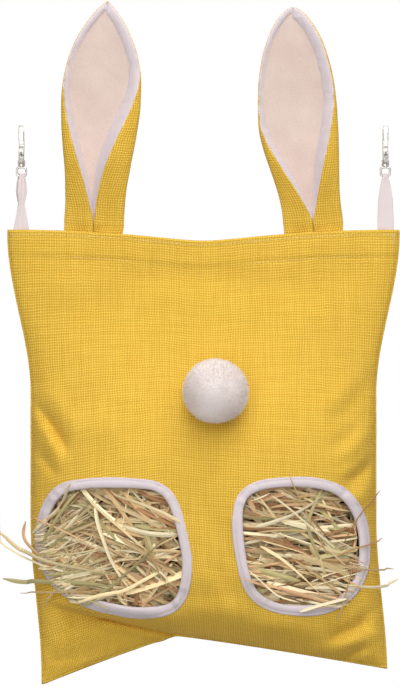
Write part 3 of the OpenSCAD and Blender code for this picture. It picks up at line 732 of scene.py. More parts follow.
# ---- Ears ----
# For each side: length, full width, widest place, bluntness of the tip, sideways lean (low down, and towards the
# tip), how far its left and right edges fold in (start, rate, power, least angle), and the seed of its swells
EARS = {
    "left": {"l": 176.5, "w": 61.5, "wide": 0.56, "blunt": 0.9, "lean": (0.0, 0.5),
             "folds": ((0.03, 136, 1, 88), (0.02, 172, 1.85, 92)), "seed": 11},
    "right": {"l": 172.0, "w": 61.5, "wide": 0.48, "blunt": 0.62, "lean": (-7.5, 1.0),
              "folds": ((0.04, 172, 1, 88), (0.03, 132, 1, 104)), "seed": 23},
}
EAR_FOOT, RIM_W = -13.0, (4.6, 7.4)          # rim width on the left and on the right


def ear_half(h, ear):
    low = EAR_NECK_W / 2 + (ear["w"] - EAR_NECK_W) / 2 * smooth((h - 0.08) / (ear["wide"] - 0.08))
    past = np.maximum(h - ear["wide"], 0) / (1 - ear["wide"])
    high = ear["w"] / 2 * np.maximum(1 - past ** 2.35, 0) ** ear["blunt"]
    return np.where(h < ear["wide"], low, high)


def ear_deep(h, ear):
    low = EAR_PRESS + (EAR_HOLLOW - EAR_PRESS) * smooth(h / 0.35)
    high = EAR_PRESS + (EAR_HOLLOW - EAR_PRESS) * ear_half(h, ear) / (ear["w"] / 2)
    return np.where(h < ear["wide"], low, high)


def ear_fold(h, fold):
    start, rate, power, least = fold
    return np.clip(180 - rate * np.maximum(h - start, 0) ** power, least, 179.6)


def ear_surface(side, z, across, inset):
    """Points of an ear: z up from its hinge, across from 0 to 1 round the fold, inset from the outside of the linen."""
    ear = EARS[side]
    h = np.clip(z / ear["l"], 0, 1)
    a0, a1 = ear_fold(h, ear["folds"][0]), ear_fold(h, ear["folds"][1])
    a = np.radians(-a0 + (a0 + a1) * across)
    root = smooth((z + 3.2) / 7)                     # pressed flat where it is sewn in
    half, deep = ear_half(h, ear), 1.15 + (ear_deep(h, ear) - 1.15) * root
    inset = inset * (0.5 + 0.5 * root)
    pleats = np.exp(-np.maximum(z, 0) / 26) * root
    wob = 0.75 * pleats * np.sin(4.2 * a + 0.5) + 0.5 * pleats * np.sin(9 * a + z / 9)
    swell = 0.55 * waves(a * 24, z, ear["seed"], 46) + 0.25 * waves(a * 24, z, ear["seed"] + 1, 17)
    wob = wob + root * np.minimum(half / 20, 1) * swell
    lean = ear["lean"][0] * smooth(h / 0.5) + ear["lean"][1] * h ** 1.6
    x = lean + np.maximum(half - inset + 0.6 * wob, 0) * np.sin(a)
    y = EAR_PRESS * root - deep + np.maximum(deep - inset + wob, 0.1) * np.cos(a) + (1 - root) * deep
    # Onto the hem: tipped forward, then in line with the hem
    ex, tip = SIDES[side] * EAR_X, math.radians(EAR_TIP)
    slope = math.atan((hem_at(ex + 1) - hem_at(ex - 1)) / 2)
    forward, up = y * math.cos(tip) - z * math.sin(tip), y * math.sin(tip) + z * math.cos(tip)
    aside, high = x * math.cos(slope) - up * math.sin(slope), x * math.sin(slope) + up * math.cos(slope)
    return np.stack([ex + aside, tuck_y(ex) + forward, hem_at(ex) + EAR_PRESS + CLOTH_GAP + high], axis=-1)


def ear_heights(side, low, rows):
    t = np.linspace(0, 1, rows)
    return low + (EARS[side]["l"] * 0.997 - low) * (1 - (1 - t) ** 1.7)


def rim_rows(side, end, rows, lips, wall):
    """The padded tape from one edge of an ear's linen down to the wall of its hollow, one line for each height."""
    lip, inward, wanted = lips[end], 1 - 2 * end, RIM_W[end]
    outline = np.concatenate(lips)[:, [0, 2]]
    t = np.linspace(0, 1, 13)
    lines = []
    for j, height in enumerate(rows):
        gap = abs(lips[1][j, 0] - lips[0][j, 0])
        tries = np.linspace(0, gap / 2, 40)
        spots = np.stack([lip[j, 0] + inward * tries, np.full(len(tries), lip[j, 2])], axis=-1)
        near = np.sqrt(((spots[:, None] - outline[None]) ** 2).sum(axis=-1)).min(axis=1)
        most = wanted * (0.3 + 0.7 * float(smooth(height / (0.42 * EARS[side]["l"]))))
        wide = tries[np.argmax(near >= most)] if (near >= most).any() else gap / 2 + 0.3
        x = lip[j, 0] + inward * wide
        foot = wall[j, np.argmin(np.abs(wall[j, :, 0] - x))]
        line = lip[j] * (1 - t[:, None]) + np.array([x, foot[1], foot[2]]) * t[:, None]
        puff = 1.1 * min(wide / wanted, 1) * np.sin(np.pi * np.minimum(t * 1.02, 1)) ** 0.7
        ripple = 0.16 * np.sin(height / 2.1 + 4 * t) + 0.12 * np.sin(height / 5.7)
        line[:, 1] -= puff + ripple * np.sin(np.pi * t)
        lines.append(line)
    return np.array(lines)


def build_ear(side):
    def layer(heights, across, *insets):
        z, across = np.meshgrid(heights, across, indexing="ij")
        return [ear_surface(side, z, across, inset) for inset in insets]

    grids = layer(ear_heights(side, EAR_FOOT, 120), np.linspace(0, 1, 100), 0, EAR_LINEN_T)
    linen = cloth(f"{side}_ear_linen", *grids, finish("linen"), flip=True)
    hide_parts(f"{side}_ear_back", f"{side}_ear_tab")
    # The lining lies against the linen, and a padded tape rim runs from the linen's edge down to it
    grids = layer(ear_heights(side, 3.5, 110), np.linspace(0.004, 0.996, 90),
                  EAR_LINEN_T + 0.2, EAR_LINEN_T + 0.2 + EAR_LINING_T)
    lining = cloth(f"{side}_ear_lining_cloth", *grids, finish("plush"), flip=True)
    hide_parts(f"{side}_ear_lining")
    rows = ear_heights(side, 4.5, 150)
    lips = [ear_surface(side, rows, np.full(len(rows), float(end)), 0.45) for end in (0, 1)]
    [hollow] = layer(rows, np.linspace(0, 1, 240), EAR_LINEN_T + EAR_LINING_T + 0.35)
    pieces = [linen, lining]
    # The rim at the edge nearer the bag's middle is the inner one
    for end, edge in enumerate(("inner", "outer") if side == "right" else ("outer", "inner")):
        front = rim_rows(side, end, rows, lips, hollow[:, 60:180])
        rim = cloth(f"{side}_ear_rim_{edge}", front, front + np.array([0, 0.8, 0]), finish("tape"), flip=end == 1)
        outwards_faces(rim)
        pieces.append(rim)
    for piece in pieces:
        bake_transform(piece)


# ---- Straps ----
# For each side: width at (share of the way up), twist in degrees, and how deep it is gathered
STRAPS = {
    "left": {"widths": ((0, 12.0), (0.06, 11.0), (0.28, 7.4), (0.47, 4.8), (0.7, 7.8), (0.87, 6.6), (1, 4.4)),
             "twist": 24, "gather": 0.9},
    "right": {"widths": ((0, 12.6), (0.3, 12.2), (0.55, 11.2), (0.76, 8.8), (0.92, 6.1), (1, 4.4)),
              "twist": 0, "gather": 1.0},
}
STRAP_FOOT, RIBBON_T = -13.0, 0.62
GATHERED_W, OPEN_W = 4.4, 12.6
LOOP_R = 0.9 + 0.28                          # the eye's bar and its play


def bulge(t):
    return math.sin(math.pi * min(max(t, 0), 1))


def leg_off(t, leg):
    """How far a leg of the strap stands off its middle plane, t of the way up."""
    return leg * float(0.2 + (LOOP_R - 0.2) * smooth(t) + 0.5 * bulge(t) * (1 if leg > 0 else 0.8))


def build_strap(side):
    """Satin ribbon doubled over the eye's lower bar and sewn in at the hem; the left one is a little twisted."""
    shape, x0, rise = STRAPS[side], SIDES[side] * STRAP_X, EYE_BAR_Z - STRAP_ROOT_Z
    y0, s = tuck_y(x0), np.linspace(-0.5, 0.5, 13)
    ts = np.concatenate([np.linspace(STRAP_FOOT / rise, 0, 8)[:-1], np.linspace(0, 0.96, 34)])
    # Up one leg, over the bar and down the other: share of the way up, and distance off the plane or angle on the arc
    stations = [(t, leg_off(t, -1), None) for t in ts]
    stations += [(1.0, None, a) for a in np.radians(np.linspace(180, 0, 13))]
    stations += [(t, leg_off(t, 1), None) for t in ts[::-1]]
    skins = []
    for extra in (RIBBON_T, 0.0):
        grid = []
        for t, off, a in stations:
            w = float(np.interp(max(t, 0), *zip(*shape["widths"])))
            gathered = shape["gather"] * (1 - (w - GATHERED_W) / (OPEN_W - GATHERED_W))
            fold = gathered * np.cos(s * math.tau * 2.5) * (1 if a is None else 0.55)
            if a is None:
                proud = np.sign(off) * (abs(off) + extra) + fold * 0.5 + 0.5 * bulge(t) * np.cos(s * math.pi) * 0.4
                up = t * rise
            else:
                proud = (LOOP_R + extra) * math.cos(a) + fold * 0.25
                up = rise + (LOOP_R + extra) * math.sin(a)
            turn = math.radians(shape["twist"]) * float(smooth((t - 0.06) / 0.78))
            ct, st = math.cos(turn), math.sin(turn)
            # The strap leans from the hem to the eye, which hangs straight below the hook
            lean = min(max(up / rise, 0), 1)
            grid.append(np.stack([x0 + s * w * ct - proud * st, y0 * (1 - lean) + s * w * st + proud * ct,
                                  np.full(len(s), STRAP_ROOT_Z + up)], axis=-1))
        skins.append(np.array(grid))
    piece = cloth(f"{side}_ribbon", *skins, finish("ribbon"))
    outwards_faces(piece)
    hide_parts(f"{side}_strap_loop", f"{side}_strap_tail")
    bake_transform(piece)


# ---- Tail ----
def front_frame(x, z):
    """A point on the outside of the front panel, and the direction out of it."""
    p = skin(np.array([x]), np.array([z]), LINEN_T)[0]
    q = skin(np.array([x]), np.array([z]), LINEN_T + 1)[0]
    return p, (q - p) / np.linalg.norm(q - p)


def build_pompom(fibres, fibre_length):
    """A lumpy ball of yarn, pressed flat against the cloth, with a nap of fibre ends all over it."""
    foot, out = front_frame(POMPOM_X, TIE_Z)
    middle = foot + out * (CLOTH_GAP + POMPOM_D / 2 - POMPOM_FLAT)
    radius = POMPOM_D / 2 - 1.0
    bpy.ops.mesh.primitive_ico_sphere_add(subdivisions=5, radius=1)
    ball = bpy.context.object
    rng = random.Random(7)
    lumps = [(Vector([rng.gauss(0, 1) for _ in range(3)]).normalized(), rng.uniform(-0.9, 1.0), rng.uniform(5, 11))
             for _ in range(26)]
    front = Vector(out)
    for v in ball.data.vertices:
        d = v.co.normalized()
        r = radius + sum(h * math.exp(-s * (1 - d.dot(c))) for c, h, s in lumps) * 0.8
        r += 0.8 * d.dot(Vector((-0.6, 0, -0.6)))
        p = Vector(middle) + d * r
        behind = (p - Vector(foot)).dot(front) - 0.35
        if behind < 0:
            p -= front * behind
        v.co = p * MM
    ball.name = ball.data.name = "tail_pompom_yarn"
    ball.data.materials.append(finish("yarn"))
    ball.data.polygons.foreach_set("use_smooth", [True] * len(ball.data.polygons))
    core = linked("tail_pompom_base", ball.data.copy())
    tree, given, made = node_tree("Cut yarn", [
        ("Density", "NodeSocketFloat", 9e5), ("Length", "NodeSocketFloat", 0.003),
        ("Thickness", "NodeSocketFloat", 0.0003), ("Seed", "NodeSocketInt", 4)])
    seed = given.outputs["Seed"]
    spread = add(tree, "GeometryNodeDistributePointsOnFaces",
                 {"Mesh": given, "Density": given.outputs["Density"], "Seed": seed})
    strand = add(tree, "GeometryNodeMeshCone", {"Vertices": 3, "Radius Top": 0.35, "Radius Bottom": 0.5, "Depth": 1.0})
    tilt = add(tree, "FunctionNodeRandomValue",
               {"Min": (-0.75, -0.75, 0.0), "Max": (0.75, 0.75, 6.28), "Seed": seed}, data_type="FLOAT_VECTOR")
    lean = add(tree, "FunctionNodeRotateEuler", {"Rotation": spread.outputs["Rotation"], "Rotate By": tilt},
               space="LOCAL")
    tall = add(tree, "FunctionNodeRandomValue", {2: 0.45, 3: 1.1}, data_type="FLOAT")
    long = calc(tree, "MULTIPLY", tall.outputs[1], given.outputs["Length"])
    strewn(tree, given, made, spread, strand, lean, long).inputs["Material"].default_value = finish("yarn")
    density = fibres / sum(p.area for p in core.data.polygons)
    values = {"Density": density, "Length": fibre_length * MM, "Thickness": 0.00026, "Seed": 4}
    nap = grown("tail_pompom_nap", core, tree, values)
    settle(ball, "pompom", "tail_pompom")
    settle(nap, "pompom")


def build_tie():
    """The thread that holds the pompom: a knot of three turns inside the bag, and the thread through the panel."""
    foot, out = front_frame(POMPOM_X, TIE_Z)
    side = np.cross(out, [0, 0, 1])
    side /= np.linalg.norm(side)
    up = np.cross(side, out)
    parts = []
    for turn in range(3):
        tip = 0.5 * (turn - 1)
        centre, radius = foot - out * (2.3 + 0.35 * turn), 2.0 - 0.25 * turn
        ring = [centre + radius * (math.cos(a) * side + math.sin(a) * up) + 0.35 * math.sin(2 * a + tip) * out
                for a in np.linspace(tip, tip + math.tau * 0.97, 26)]
        parts.append(tube(ring, 0.42))
    parts.append(tube([foot - out * 2.9, foot - out * 1.2, foot + out * 0.2], 0.5))
    settle(new_piece("tail_thread", *merged(parts), None, finish("white_thread")), "thread", "tail_tie")


# ---- Hay ----
# Where strands stick out of the windows: (x, z, height off the cloth) along each, width and tone
STRANDS = {
    "left": [
        ([(-158, -296, 6), (-150, -313, 8), (-138, -322, 8), (-122, -333, 4), (-100, -340, -1),
          (-70, -347, -3)], 1.6, 0.05),
        ([(-151.5, -306, 9), (-146, -309, 9), (-134, -320, 8), (-118, -330, 4), (-88, -337, 0),
          (-48, -345, -4)], 3.2, 0.55),
        ([(-148, -342.5, 7), (-134, -345, 7), (-118, -346, 4), (-96, -347, 1), (-72, -349, -1)], 3.4, 0.42),
        ([(-134, -353.5, 8), (-112, -354, 6), (-88, -353, 3), (-58, -350, 0), (-30, -346, -5)], 1.4, 0.3),
        ([(-120, -364, 6), (-114, -357, 6), (-108, -344, 3), (-101, -322, -1), (-96, -300, -6)], 1.3, 0.15),
        ([(-92, -364, 5), (-86, -361, 6), (-78, -355, 4), (-58, -338, 1), (-36, -318, -2), (-22, -306, -6)], 3.0, 0.42),
        ([(-93, -360, 7), (-80, -357, 6), (-62, -352, 3), (-44, -343, 0), (-26, -334, -5)], 2.6, 0.6),
        ([(-16, -300, 4), (-30, -293, 3), (-50, -285, 1), (-68, -279, -3), (-80, -270, -9)], 2.8, 0.56),
        ([(-84, -276, -6), (-82, -296, 0), (-76, -314, 2), (-70, -330, 1), (-60, -347, -2),
          (-52, -358, -7)], 3.4, 0.05),
        ([(-128, -296, 4), (-120, -300, 5), (-108, -306, 2), (-90, -316, -1), (-66, -332, -4)], 1.4, 0.7),
        ([(-131, -300, 6), (-131.5, -310, 7), (-129, -318, 6), (-120, -330, 3), (-108, -346, -2)], 2.8, 0.72),
        ([(-122, -318, 4), (-112, -300, 4), (-104, -286, 2), (-97, -276, -3)], 2.2, 0.42),
    ],
    "right": [
        ([(63.5, -262, 7), (67, -270, 6), (74, -284, 3), (82, -300, 1), (92, -318, -1), (104, -338, -5)], 1.0, 0.3),
        ([(51.5, -279, 4), (62, -287, 4), (76, -299, 3), (90, -311, 1), (108, -325, -4)], 1.5, 0.8),
        ([(97, -268, -9), (91, -276, -2), (84, -288, 1), (80, -304, 1), (88, -326, -1), (94, -344, -5)], 2.4, 0.42),
        ([(38, -304, -4), (52, -300, 0), (68, -294, 2), (84, -285, 1), (96, -276, -4)], 3.0, 0.05),
        ([(142, -338.5, 5), (132, -338, 6), (120, -337, 4), (106, -333, 0), (90, -330, -4)], 1.3, 0.3),
        ([(144.5, -346.5, 6), (136, -350, 7), (126, -351, 6), (112, -349, 2), (94, -346, -3)], 2.2, 0.8),
        ([(100, -374, 6), (104, -366, 6), (108, -354, 3), (114, -336, 0), (118, -318, -6)], 1.4, 0.3),
        ([(30, -341.5, 4), (40, -345, 4), (54, -352, 1), (70, -356, -2), (90, -358, -6)], 1.6, 0.7),
        ([(34, -336, 5), (44, -345, 4), (58, -356, 2), (74, -362, -3)], 1.2, 0.85),
        ([(134, -314, 4), (124, -318, 4), (112, -322, 1), (96, -330, -4)], 1.3, 0.95),
        ([(132, -276, 4), (124, -286, 4), (116, -300, 1), (108, -318, -3)], 1.1, 0.95),
        ([(44, -318, -3), (60, -328, 0), (76, -342, 1), (92, -357, -3)], 2.6, 0.6),
        ([(38, -308, -3), (60, -306, 1), (84, -307, 0), (110, -309, -5)], 1.5, 0.3),
    ],
}
# How many ends spill over the tape, which way the tape faces there and which way the stalks run in from their ends
# (degrees from the right, anticlockwise), and their tones
SPILLS = {"left": (170, 176, 242, 14, (0.05, 0.15, 0.3, 0.42, 0.55, 0.8)),
          "right": (34, 296, 350, 165, (0.05, 0.3, 0.55, 0.7, 0.95))}
HAY_WIDTHS, SPILL_WIDTHS = (1.1, 1.6, 2.2, 3.0, 3.8, 4.6), (0.7, 0.9, 1.3, 2.0, 2.6)
# How far behind the cloth the deepest stalks lie, and how far out hay reaches, in all and as a share of the cloth
HAY_BACK, HAY_REACH, HAY_SPREAD = 9.0, 158, 0.985


def blade(path, width, tone, twist, fold):
    """A flattened stem along a path: five sides, with a keel along its middle, narrower at both ends; and its tone."""
    n = len(path)
    along = unit(np.gradient(path, axis=0))
    side = unit(np.cross(along, [0.12, -1.0, 0.1]))
    up = np.cross(side, along)
    t = np.linspace(0, 1, n)
    turn = twist[0] + twist[1] * t
    s = side * np.cos(turn)[:, None] + up * np.sin(turn)[:, None]
    u = -side * np.sin(turn)[:, None] + up * np.cos(turn)[:, None]
    w = width / 2 * (0.35 + 0.65 * smooth(np.minimum(t, 1 - t) / 0.12))[:, None]
    ring = [path - s * w, path + u * w * fold, path + s * w, path + s * w * 0.3 - u * 0.16 - u * w * 0.1,
            path - s * w * 0.5 - u * 0.16 - u * w * 0.1]
    k = len(ring)
    points = np.stack(ring, axis=1).reshape(-1, 3)
    uv = np.stack([np.tile(np.array([-1, 0, 1, 0.3, -0.5]) * width / 2, n), np.repeat(t * 60, k) + tone * 900], axis=-1)
    faces = [(i * k + j, (i + 1) * k + j, (i + 1) * k + (j + 1) % k, i * k + (j + 1) % k)
             for i in range(n - 1) for j in range(k)]
    faces += [tuple(range(k)), tuple(range((n - 1) * k + k - 1, (n - 1) * k - 1, -1))]
    return points, faces, uv, tone


def bundle(name, blades):
    """Many blades as one mesh. Each point keeps the tone of its blade."""
    faces, start = [], 0
    for points, theirs, _, _ in blades:
        faces.extend(tuple(i + start for i in face) for face in theirs)
        start += len(points)
    points, uvs = (np.concatenate([each[part] for each in blades]) for part in (0, 2))
    piece = new_piece(name, points, faces, uvs, finish("hay"), smooth_faces=False)
    layer = piece.data.attributes.new("tone", "FLOAT", "POINT")
    tones = np.concatenate([np.full(len(points), tone) for points, _, _, tone in blades])
    layer.data.foreach_set("value", tones.astype(np.float32))
    settle(piece, "hay")


def build_wad():
    """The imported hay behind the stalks: rough in front, smooth against the back panel."""
    c, w = np.meshgrid(-np.cos(np.linspace(0, math.pi, 90)), np.linspace(0, 1, 80))
    z0 = foot_z(c) + 20
    top = -234 - 10 * c * c + 4 * waves(c * 100, 0 * c, 41, 30)
    z = top + (z0 - top) * w
    x = mid_x(z) + c * (half_w(z) - 20)
    rough = 2.2 * waves(x, z, 31, 14) + 1.4 * waves(x, z, 32, 6)
    edge = np.minimum(np.minimum(w, 1 - w) * 9, np.minimum(1 - np.abs(c), 1) * 14)
    edge = np.sqrt(np.clip(edge, 0.0, 1))
    room = np.maximum(depth(x, z), 3)
    front = -np.maximum((room * flap(x, z) - HAY_BACK - 2 + rough) * edge, 0.6)
    back = np.maximum((room - 1.4) * edge, 0.6)
    outer, inner = (np.stack([x, y, z], axis=-1) for y in (front, back))
    settle(cloth("hay_wad", outer, inner, finish("wad")), "hay", "hay_fill")


def eased(values, side, middle):
    """Each value shared with the one before it and the one after it."""
    return np.convolve(np.concatenate([[values[0]], values, [values[-1]]]), [side, middle, side], "valid")


def stalk(rng, path, width, tone):
    """A blade with its own twist and keel."""
    return blade(path, width, tone, (rng.uniform(-0.7, 0.7), rng.gauss(0, 0.7)), rng.uniform(0.1, 0.45))


def on_cloth(x, z):
    """x, kept within what the panel spans at the height z."""
    return np.clip(x, mid_x(z) - half_w(z) * HAY_SPREAD, mid_x(z) + half_w(z) * HAY_SPREAD)


def loose_stalks(rng, side, line, count):
    """Stalks behind a window, deepest first."""
    lo, hi = line.min(axis=0), line.max(axis=0)
    wide = line + 9 * outwards(line)
    (x0, z0), (x1, z1) = FLAP
    t = np.linspace(-0.5, 0.5, 9)
    blades = []
    while len(blades) < count:
        x, z = rng.uniform(lo[0] - 8, hi[0] + 8), rng.uniform(lo[1] - 8, hi[1] + 8)
        if not inside(np.array([x]), np.array([z]), wide)[0]:
            continue
        share = len(blades) / count
        # Mostly lying level on the right; steeper and more mixed on the left
        if side == "right" and rng.random() < 0.72:
            lying = rng.gauss(0, 0.28)
        elif rng.random() < 0.55:
            lying = rng.uniform(-1.5, 1.5)
        else:
            lying = rng.gauss(-0.35, 0.4)
        long = rng.uniform(26, 88) * (1 if share < 0.8 else 0.85)
        angle = lying + rng.gauss(0, 0.13) * t
        px, pz = x + long * t * np.cos(angle), z + long * t * np.sin(angle)
        # Kept above the foot, below the top of the hay, off the sides and above the flat corner
        pz = np.clip(pz, foot_z((px - mid_x(pz)) / half_w(pz)) + 12, -225)
        px = np.clip(px, mid_x(pz) - half_w(pz) + 14, mid_x(pz) + half_w(pz) - 14)
        pz = np.where(px < x1, np.maximum(pz, z0 + (px - x0) * (z1 - z0) / (x1 - x0) + 6), pz)
        level = HAY_BACK * (1 - share) ** 0.8 + 1.2
        within = inside(px, pz, line - 4 * outwards(line))
        bow = rng.uniform(-1.6, 1.8) + 2.2 * (share > 0.75)
        drop = np.where(within, level - bow * np.cos(t * math.pi), np.maximum(level, 3.0) + 1.0)
        path = skin(px, pz, -np.maximum(eased(drop, 0.25, 0.5) + rng.gauss(0, 1.4) * t, 0.9))
        width = rng.choice(HAY_WIDTHS) * rng.uniform(0.85, 1.15)
        # Painted shade: deeper stalks are darker, lower within their step of the eight tones
        step, place = divmod(rng.random() * 8, 1)
        blades.append(stalk(rng, path, width, (step + place * min(1, 0.25 + 1.1 * share)) / 8))
    return blades


def spilt_ends(rng, side, line):
    """Ends that lie over the tape where the hay has been pulled at."""
    spills, low, high, inwards, tones = SPILLS[side]
    facing = outwards(line)
    turn = np.degrees(np.arctan2(facing[:, 1], facing[:, 0])) % 360
    open_to = list(np.flatnonzero((turn > low) & (turn < high)))
    t = np.linspace(0, 1, 9)
    blades = []
    for _ in range(spills):
        k = rng.choice(open_to)
        end = line[k] + facing[k] * rng.triangular(-2, 12, 6)
        aim, bend, reach = math.radians(rng.gauss(inwards, 15)), rng.gauss(0, 0.3), rng.uniform(26, 60)
        px = end[0] + reach * np.cumsum(np.cos(aim + bend * t)) / 9
        pz = end[1] + reach * np.cumsum(np.sin(aim + bend * t)) / 9
        px = on_cloth(px, pz)
        over = ~inside(px, pz, line - 1.5 * facing)
        if not inside(px[2:], pz[2:], line + 10 * facing).all():
            continue
        height = np.where(over, LINEN_T + 2.8 + rng.uniform(0, 3.5), rng.uniform(-4.5, 0.5))
        width, tone = rng.choice(SPILL_WIDTHS), rng.choice(tones)
        blades.append(stalk(rng, skin(px, pz, eased(height, 0.3, 0.4)), width, tone))
    return blades


def build_stalks(side, count, seed):
    """Loose stalks behind one window, the ends that spill over its tape and the strands that stick out of it."""
    rng, line = random.Random(seed), window_line(side, 120)
    blades = loose_stalks(rng, side, line, count) + spilt_ends(rng, side, line)
    for points, width, tone in STRANDS[side]:
        x, z, high = evenly(through(points, 120), 26).T
        near = on_cloth(x, z)
        path = skin(near, z, LINEN_T + high)
        path[:, 0] = np.clip(path[:, 0] + x - near, -HAY_REACH, HAY_REACH)
        blades.append(blade(path, width, tone, (rng.uniform(-0.4, 0.4), rng.gauss(0, 0.8)), 0.3))
    bundle(f"{side}_hay_stalks", blades)


def build_loose_top(count, seed):
    """Stalks lying on top of the wad, inside the mouth."""
    rng = random.Random(seed)
    t = np.linspace(-0.5, 0.5, 7)
    blades = []
    for _ in range(count):
        x, y = rng.uniform(-92, 92), rng.uniform(-14, 14)
        a, long = rng.uniform(-0.5, 0.5), rng.uniform(25, 70)
        px = np.clip(x + long * t * math.cos(a), -104, 104)
        py = np.clip(y + long * t * math.sin(a), -18, 18)
        pz = -231 - 10 * (px / 125) ** 2 + rng.uniform(0, 9) + rng.gauss(0, 5) * t
        tone, width = rng.random(), rng.uniform(1, 3)
        blades.append(blade(np.stack([px, py, pz], axis=-1), width, tone, (rng.uniform(0.9, 2.2), 0.4), 0.3))
    bundle("top_hay_stalks", blades)


# ---- Cloth as it was cut ----
def declare_cloth():
    """The flat size of each piece of cloth before it was sewn up: width, length and area, and what is sewn on it."""
    straps = [f"{side}_strap_loop" for side in SIDES]
    trims = [f"{side}_window_{part}" for side in SIDES for part in ("tape", "stitches")]
    front, back = ([f"{face}_hem_stitches_{row}" for row in (1, 2)] for face in ("front", "back"))
    cuts = [("front_linen", (0.304, 0.356), "hung", 0.0908, straps, trims + front),
            ("back_linen", (0.304, 0.356), "hung", 0.108, straps, back)]
    cuts += [(f"{face}_hem_facing", (0.294, 0.0185), "hung", None, [], []) for face in ("front", "back")]
    cuts += [(f"{side}_ribbon", (0.012, 0.111), "folded", None, [], []) for side in SIDES]
    # The right ear is the shorter and narrower one
    for side, linen, area, lining, lining_area in (("left", (0.094, 0.19), 0.014, (0.085, 0.173), 0.0116),
                                                   ("right", (0.094, 0.185), 0.0132, (0.079, 0.168), 0.0108)):
        rims = [f"{side}_ear_rim_{edge}" for edge in ("inner", "outer")]
        cuts += [(f"{side}_ear_linen", linen, "folded", area, [], rims),
                 (f"{side}_ear_lining_cloth", lining, "folded", lining_area, [], [])]


# ---- Clips ----
def dress_clips():
    for side in SIDES:
        for node, metal in (("swivel_eye", "nickel"), ("hook_body", "nickel"), ("gate", "nickel"),
                            ("gate_pin", "steel"), ("gate_spring", "steel")):
            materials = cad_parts[f"{side}_{node}"].data.materials
            materials.clear()
            materials.append(finish(metal))


# ---- Stage ----
def build_floor():
    """Matt white paper. It lights the bag a little less than it shows, and glows faintly where it is seen."""
    bpy.ops.mesh.primitive_plane_add(size=6, location=(0, 0.5, -1.1))
    floor = bpy.context.object
    floor.name = "floor"
    paper, tree = blank("matt_white_paper")
    place = add(tree, "ShaderNodeTexCoord").outputs["Object"]
    ray = add(tree, "ShaderNodeLightPath").outputs
    looked = calc(tree, "MAXIMUM", ray["Is Camera Ray"], ray["Is Glossy Ray"])
    pale = add(tree, "ShaderNodeMix", {"Factor": looked, "A": srgb("#b0b0ae"), "B": srgb("#f4f4f2")}, data_type="RGBA")
    coat(tree, pale.outputs["Result"], noise(tree, place, 900.0, 3.0), 0.05, 0.0002, Roughness=0.9,
         Emission_Color=(1, 1, 1, 1), Emission_Strength=calc(tree, "MULTIPLY", looked, 0.55))
    floor.data.materials.append(paper)


def build_world():
    """White where the camera sees it, in a reflection too; a soft pale light on everything else."""
    world = bpy.data.worlds.new("studio")
    bpy.context.scene.world = world
    world.use_nodes = True
    tree = world.node_tree
    tree.nodes.clear()
    ray = add(tree, "ShaderNodeLightPath").outputs
    straight = calc(tree, "MAXIMUM", ray["Is Camera Ray"], ray["Is Transmission Ray"])
    white = calc(tree, "MAXIMUM", straight, ray["Is Glossy Ray"])
    soft = add(tree, "ShaderNodeBackground", {"Color": srgb("#f3f4f7"), "Strength": 0.26})
    plain = add(tree, "ShaderNodeBackground", {"Color": (1, 1, 1, 1), "Strength": 1.0})
    mixed = add(tree, "ShaderNodeMixShader", {0: white, 1: soft, 2: plain})
    add(tree, "ShaderNodeOutputWorld", {"Surface": mixed})


# Each lamp: diameter and power, place, and what it points at, in metres and watts
LAMPS = {
    "key": (2.0, 25.5, (0.3, -1.3, 1.2), (0, 0, -0.26)),
    "fill": (2.2, 22.0, (-0.4, -2.2, 0.1), (0, 0, -0.28)),
    "top": (1.2, 6.0, (0.1, -0.1, 1.1), (0, 0, -0.2)),
    "rear": (1.2, 8.0, (0.2, 1.6, 0.5), (0, 0, -0.25)),
}
# The camera: its place, how high the picture is there, and the height of its sensor in millimetres
CAMERA_AT, PICTURE_H, SENSOR_H = (-0.0027, -5.0, -0.1624), 0.5324, 24


def build_stage():
    scene = bpy.context.scene
    scene.view_settings.view_transform = "Standard"
    build_floor()
    build_world()
    for name, (size, power, place, aim) in LAMPS.items():
        lamp = bpy.data.lights.new(name, "AREA")
        lamp.shape, lamp.size, lamp.energy = "DISK", size, power
        holder = linked(name, lamp)
        holder.location = place
        holder.rotation_euler = (Vector(aim) - Vector(place)).to_track_quat("-Z", "Y").to_euler()
    camera = bpy.data.cameras.new("camera")
    camera.sensor_fit, camera.sensor_height, camera.clip_end = "VERTICAL", SENSOR_H, 50
    camera.lens = SENSOR_H * -CAMERA_AT[1] / PICTURE_H
    scene.camera = linked("camera", camera)
    scene.camera.location = CAMERA_AT
    scene.camera.rotation_euler = (math.pi / 2, 0, 0)


# ---- Settings ----
class HayBagSizes(bpy.types.PropertyGroup):
    """Sizes and counts that a user would change"""

    stalks: bpy.props.IntProperty(
        name="Stalks", description="Loose stalks behind each window", default=520, min=50, max=1500)
    fibres: bpy.props.IntProperty(
        name="Fibres", description="Fibre ends on the pompom", default=9000, min=500, max=20000)
    fibre_length: bpy.props.FloatProperty(
        name="Fibre length", description="Length of the pompom's fibre ends, in millimetres",
        default=2.4, min=0.5, max=6.0)


def colour(name, description, default):
    return bpy.props.StringProperty(name=name, description=description, default=default)


